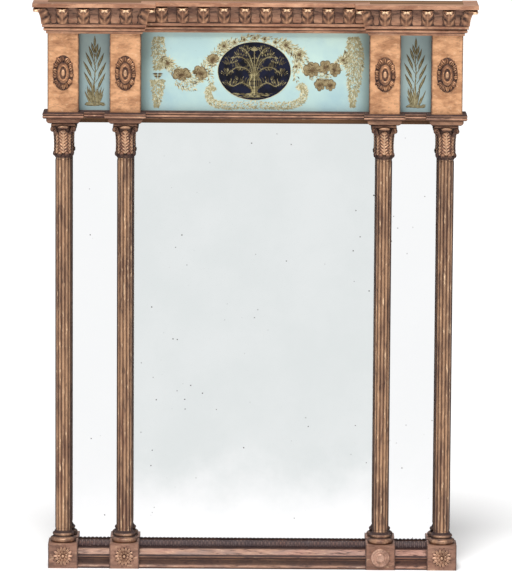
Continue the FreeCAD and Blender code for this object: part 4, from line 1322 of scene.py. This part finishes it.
brush_layer("reed_light", khaki_paint, 0.16)

# %% [markdown]
# ## Pegs, nails and screws
# The back frame's joints are pegged, its boards are nailed and the hangers screwed on. These are small
# turned heads, made once and copied.

# %% Small fasteners
peg = turned([(0.0, 0.0), (3.0, 0.0), (3.0, 1.2), (2.4, 1.8), (0.0, 2.0)], 16, "peg")
peg.data.transform(turn(-90, "X"))
nail = turned([(0.0, 0.0), (2.3, 0.0), (2.3, 0.4), (1.4, 0.8), (0.0, 0.9)], 12, "nail")
nail.data.transform(turn(-90, "X"))
screw = copy_at(nail, Matrix())
PEG_DEPTH, NAIL_INSET = 2.1 * MM, 6 * MM
rails = ("bottom_rail", "frieze_rail", "top_rail")
stiles = [middle_of(side + "_stile", 0) for side in ("left", "right")]
pegs = repeat(peg, [(x, -PEG_DEPTH, middle_of(rail, 2)) for x in stiles for rail in rails], "frame_pegs")
hand_over(pegs, pine_upright)
places = []
for board in ("left_backboard", "centre_backboard", "right_backboard", "frieze_backboard"):
    low, high = SOLIDS[board]
    if board == "frieze_backboard":
        across = [low.x + (high.x - low.x) * (i + 0.5) / 8 for i in range(8)]
        places += [(x, high.y, z) for x in across for z in (low.z + NAIL_INSET, high.z - NAIL_INSET)]
    else:
        upward = [low.z + (high.z - low.z) * (i + 0.5) / 7 for i in range(7)]
        places += [(x, high.y, z) for z in upward for x in (low.x + NAIL_INSET, high.x - NAIL_INSET)]
nails = repeat(nail, places, "backboard_nails")
hand_over(nails, iron)
SCREW_SPREAD, SCREW_DEPTH, SCREW_RISE = 6 * MM, 6.2 * MM, 4.5 * MM
screw_level = SOLIDS["hanger_plates"][0].z + SCREW_RISE
hangers = [middle_of(side + "_hanger_ring", 0) for side in ("left", "right")]
screw_places = [(x + way * SCREW_SPREAD, -SCREW_DEPTH, screw_level) for x in hangers for way in (-1, 1)]
screws = repeat(screw, screw_places, "hanger_screws")
hand_over(screws, brass)

# %% [markdown]
# ## Floor and light
# The mirror stands on a wide pale floor. Light comes from all round, with a broad soft sun high in front.

# %% Stage
floor = new_object(bpy.ops.mesh.primitive_plane_add, size=120, location=(0, 20, 0))
floor.name = "floor"
pale = Finish("pale_floor", Roughness=0.9, Base_Color=(0.95, 0.95, 0.95, 1.0), Specular_IOR_Level=0.0)
floor.data.materials.append(pale.material)

world = bpy.context.scene.world or bpy.data.worlds.new("studio")
bpy.context.scene.world = world
world.use_nodes = True
sky = world.node_tree.nodes["Background"]
sky.inputs["Color"].default_value = (1, 1, 1, 1)
sky.inputs["Strength"].default_value = 0.32

sun = new_object(bpy.ops.object.light_add, type="SUN", location=(-2, -3, 4))
sun.data.energy = 3.2
sun.data.angle = radians(24)
towards = Vector((0.07, 0.54, -1.0))
sun.rotation_euler = towards.to_track_quat("-Z", "Y").to_euler()
print("sun height:", round(degrees(asin(-towards.normalized().z)), 1))

# %% [markdown]
# ## Camera
# The camera stands nine metres off with a long lens. It looks down by nine degrees and is rolled by a
# third of a degree.

# %% Camera
TILT = radians(9.0)
FAR = 9.0
aim = Vector((3.6 * MM, -0.05, 0.4860))
away = Vector((0, -cos(TILT), sin(TILT)))
camera = new_object(bpy.ops.object.camera_add, location=aim + away * FAR)
camera.rotation_euler = (-away).to_track_quat("-Z", "Y").to_euler()
camera.rotation_euler.rotate_axis("Z", radians(0.35))
camera.data.sensor_width = 36
camera.data.lens = 328
camera.data.clip_end = 200
bpy.context.scene.camera = camera
bpy.context.scene.view_settings.view_transform = "Standard"
print("camera at", [round(c, 3) for c in camera.location])
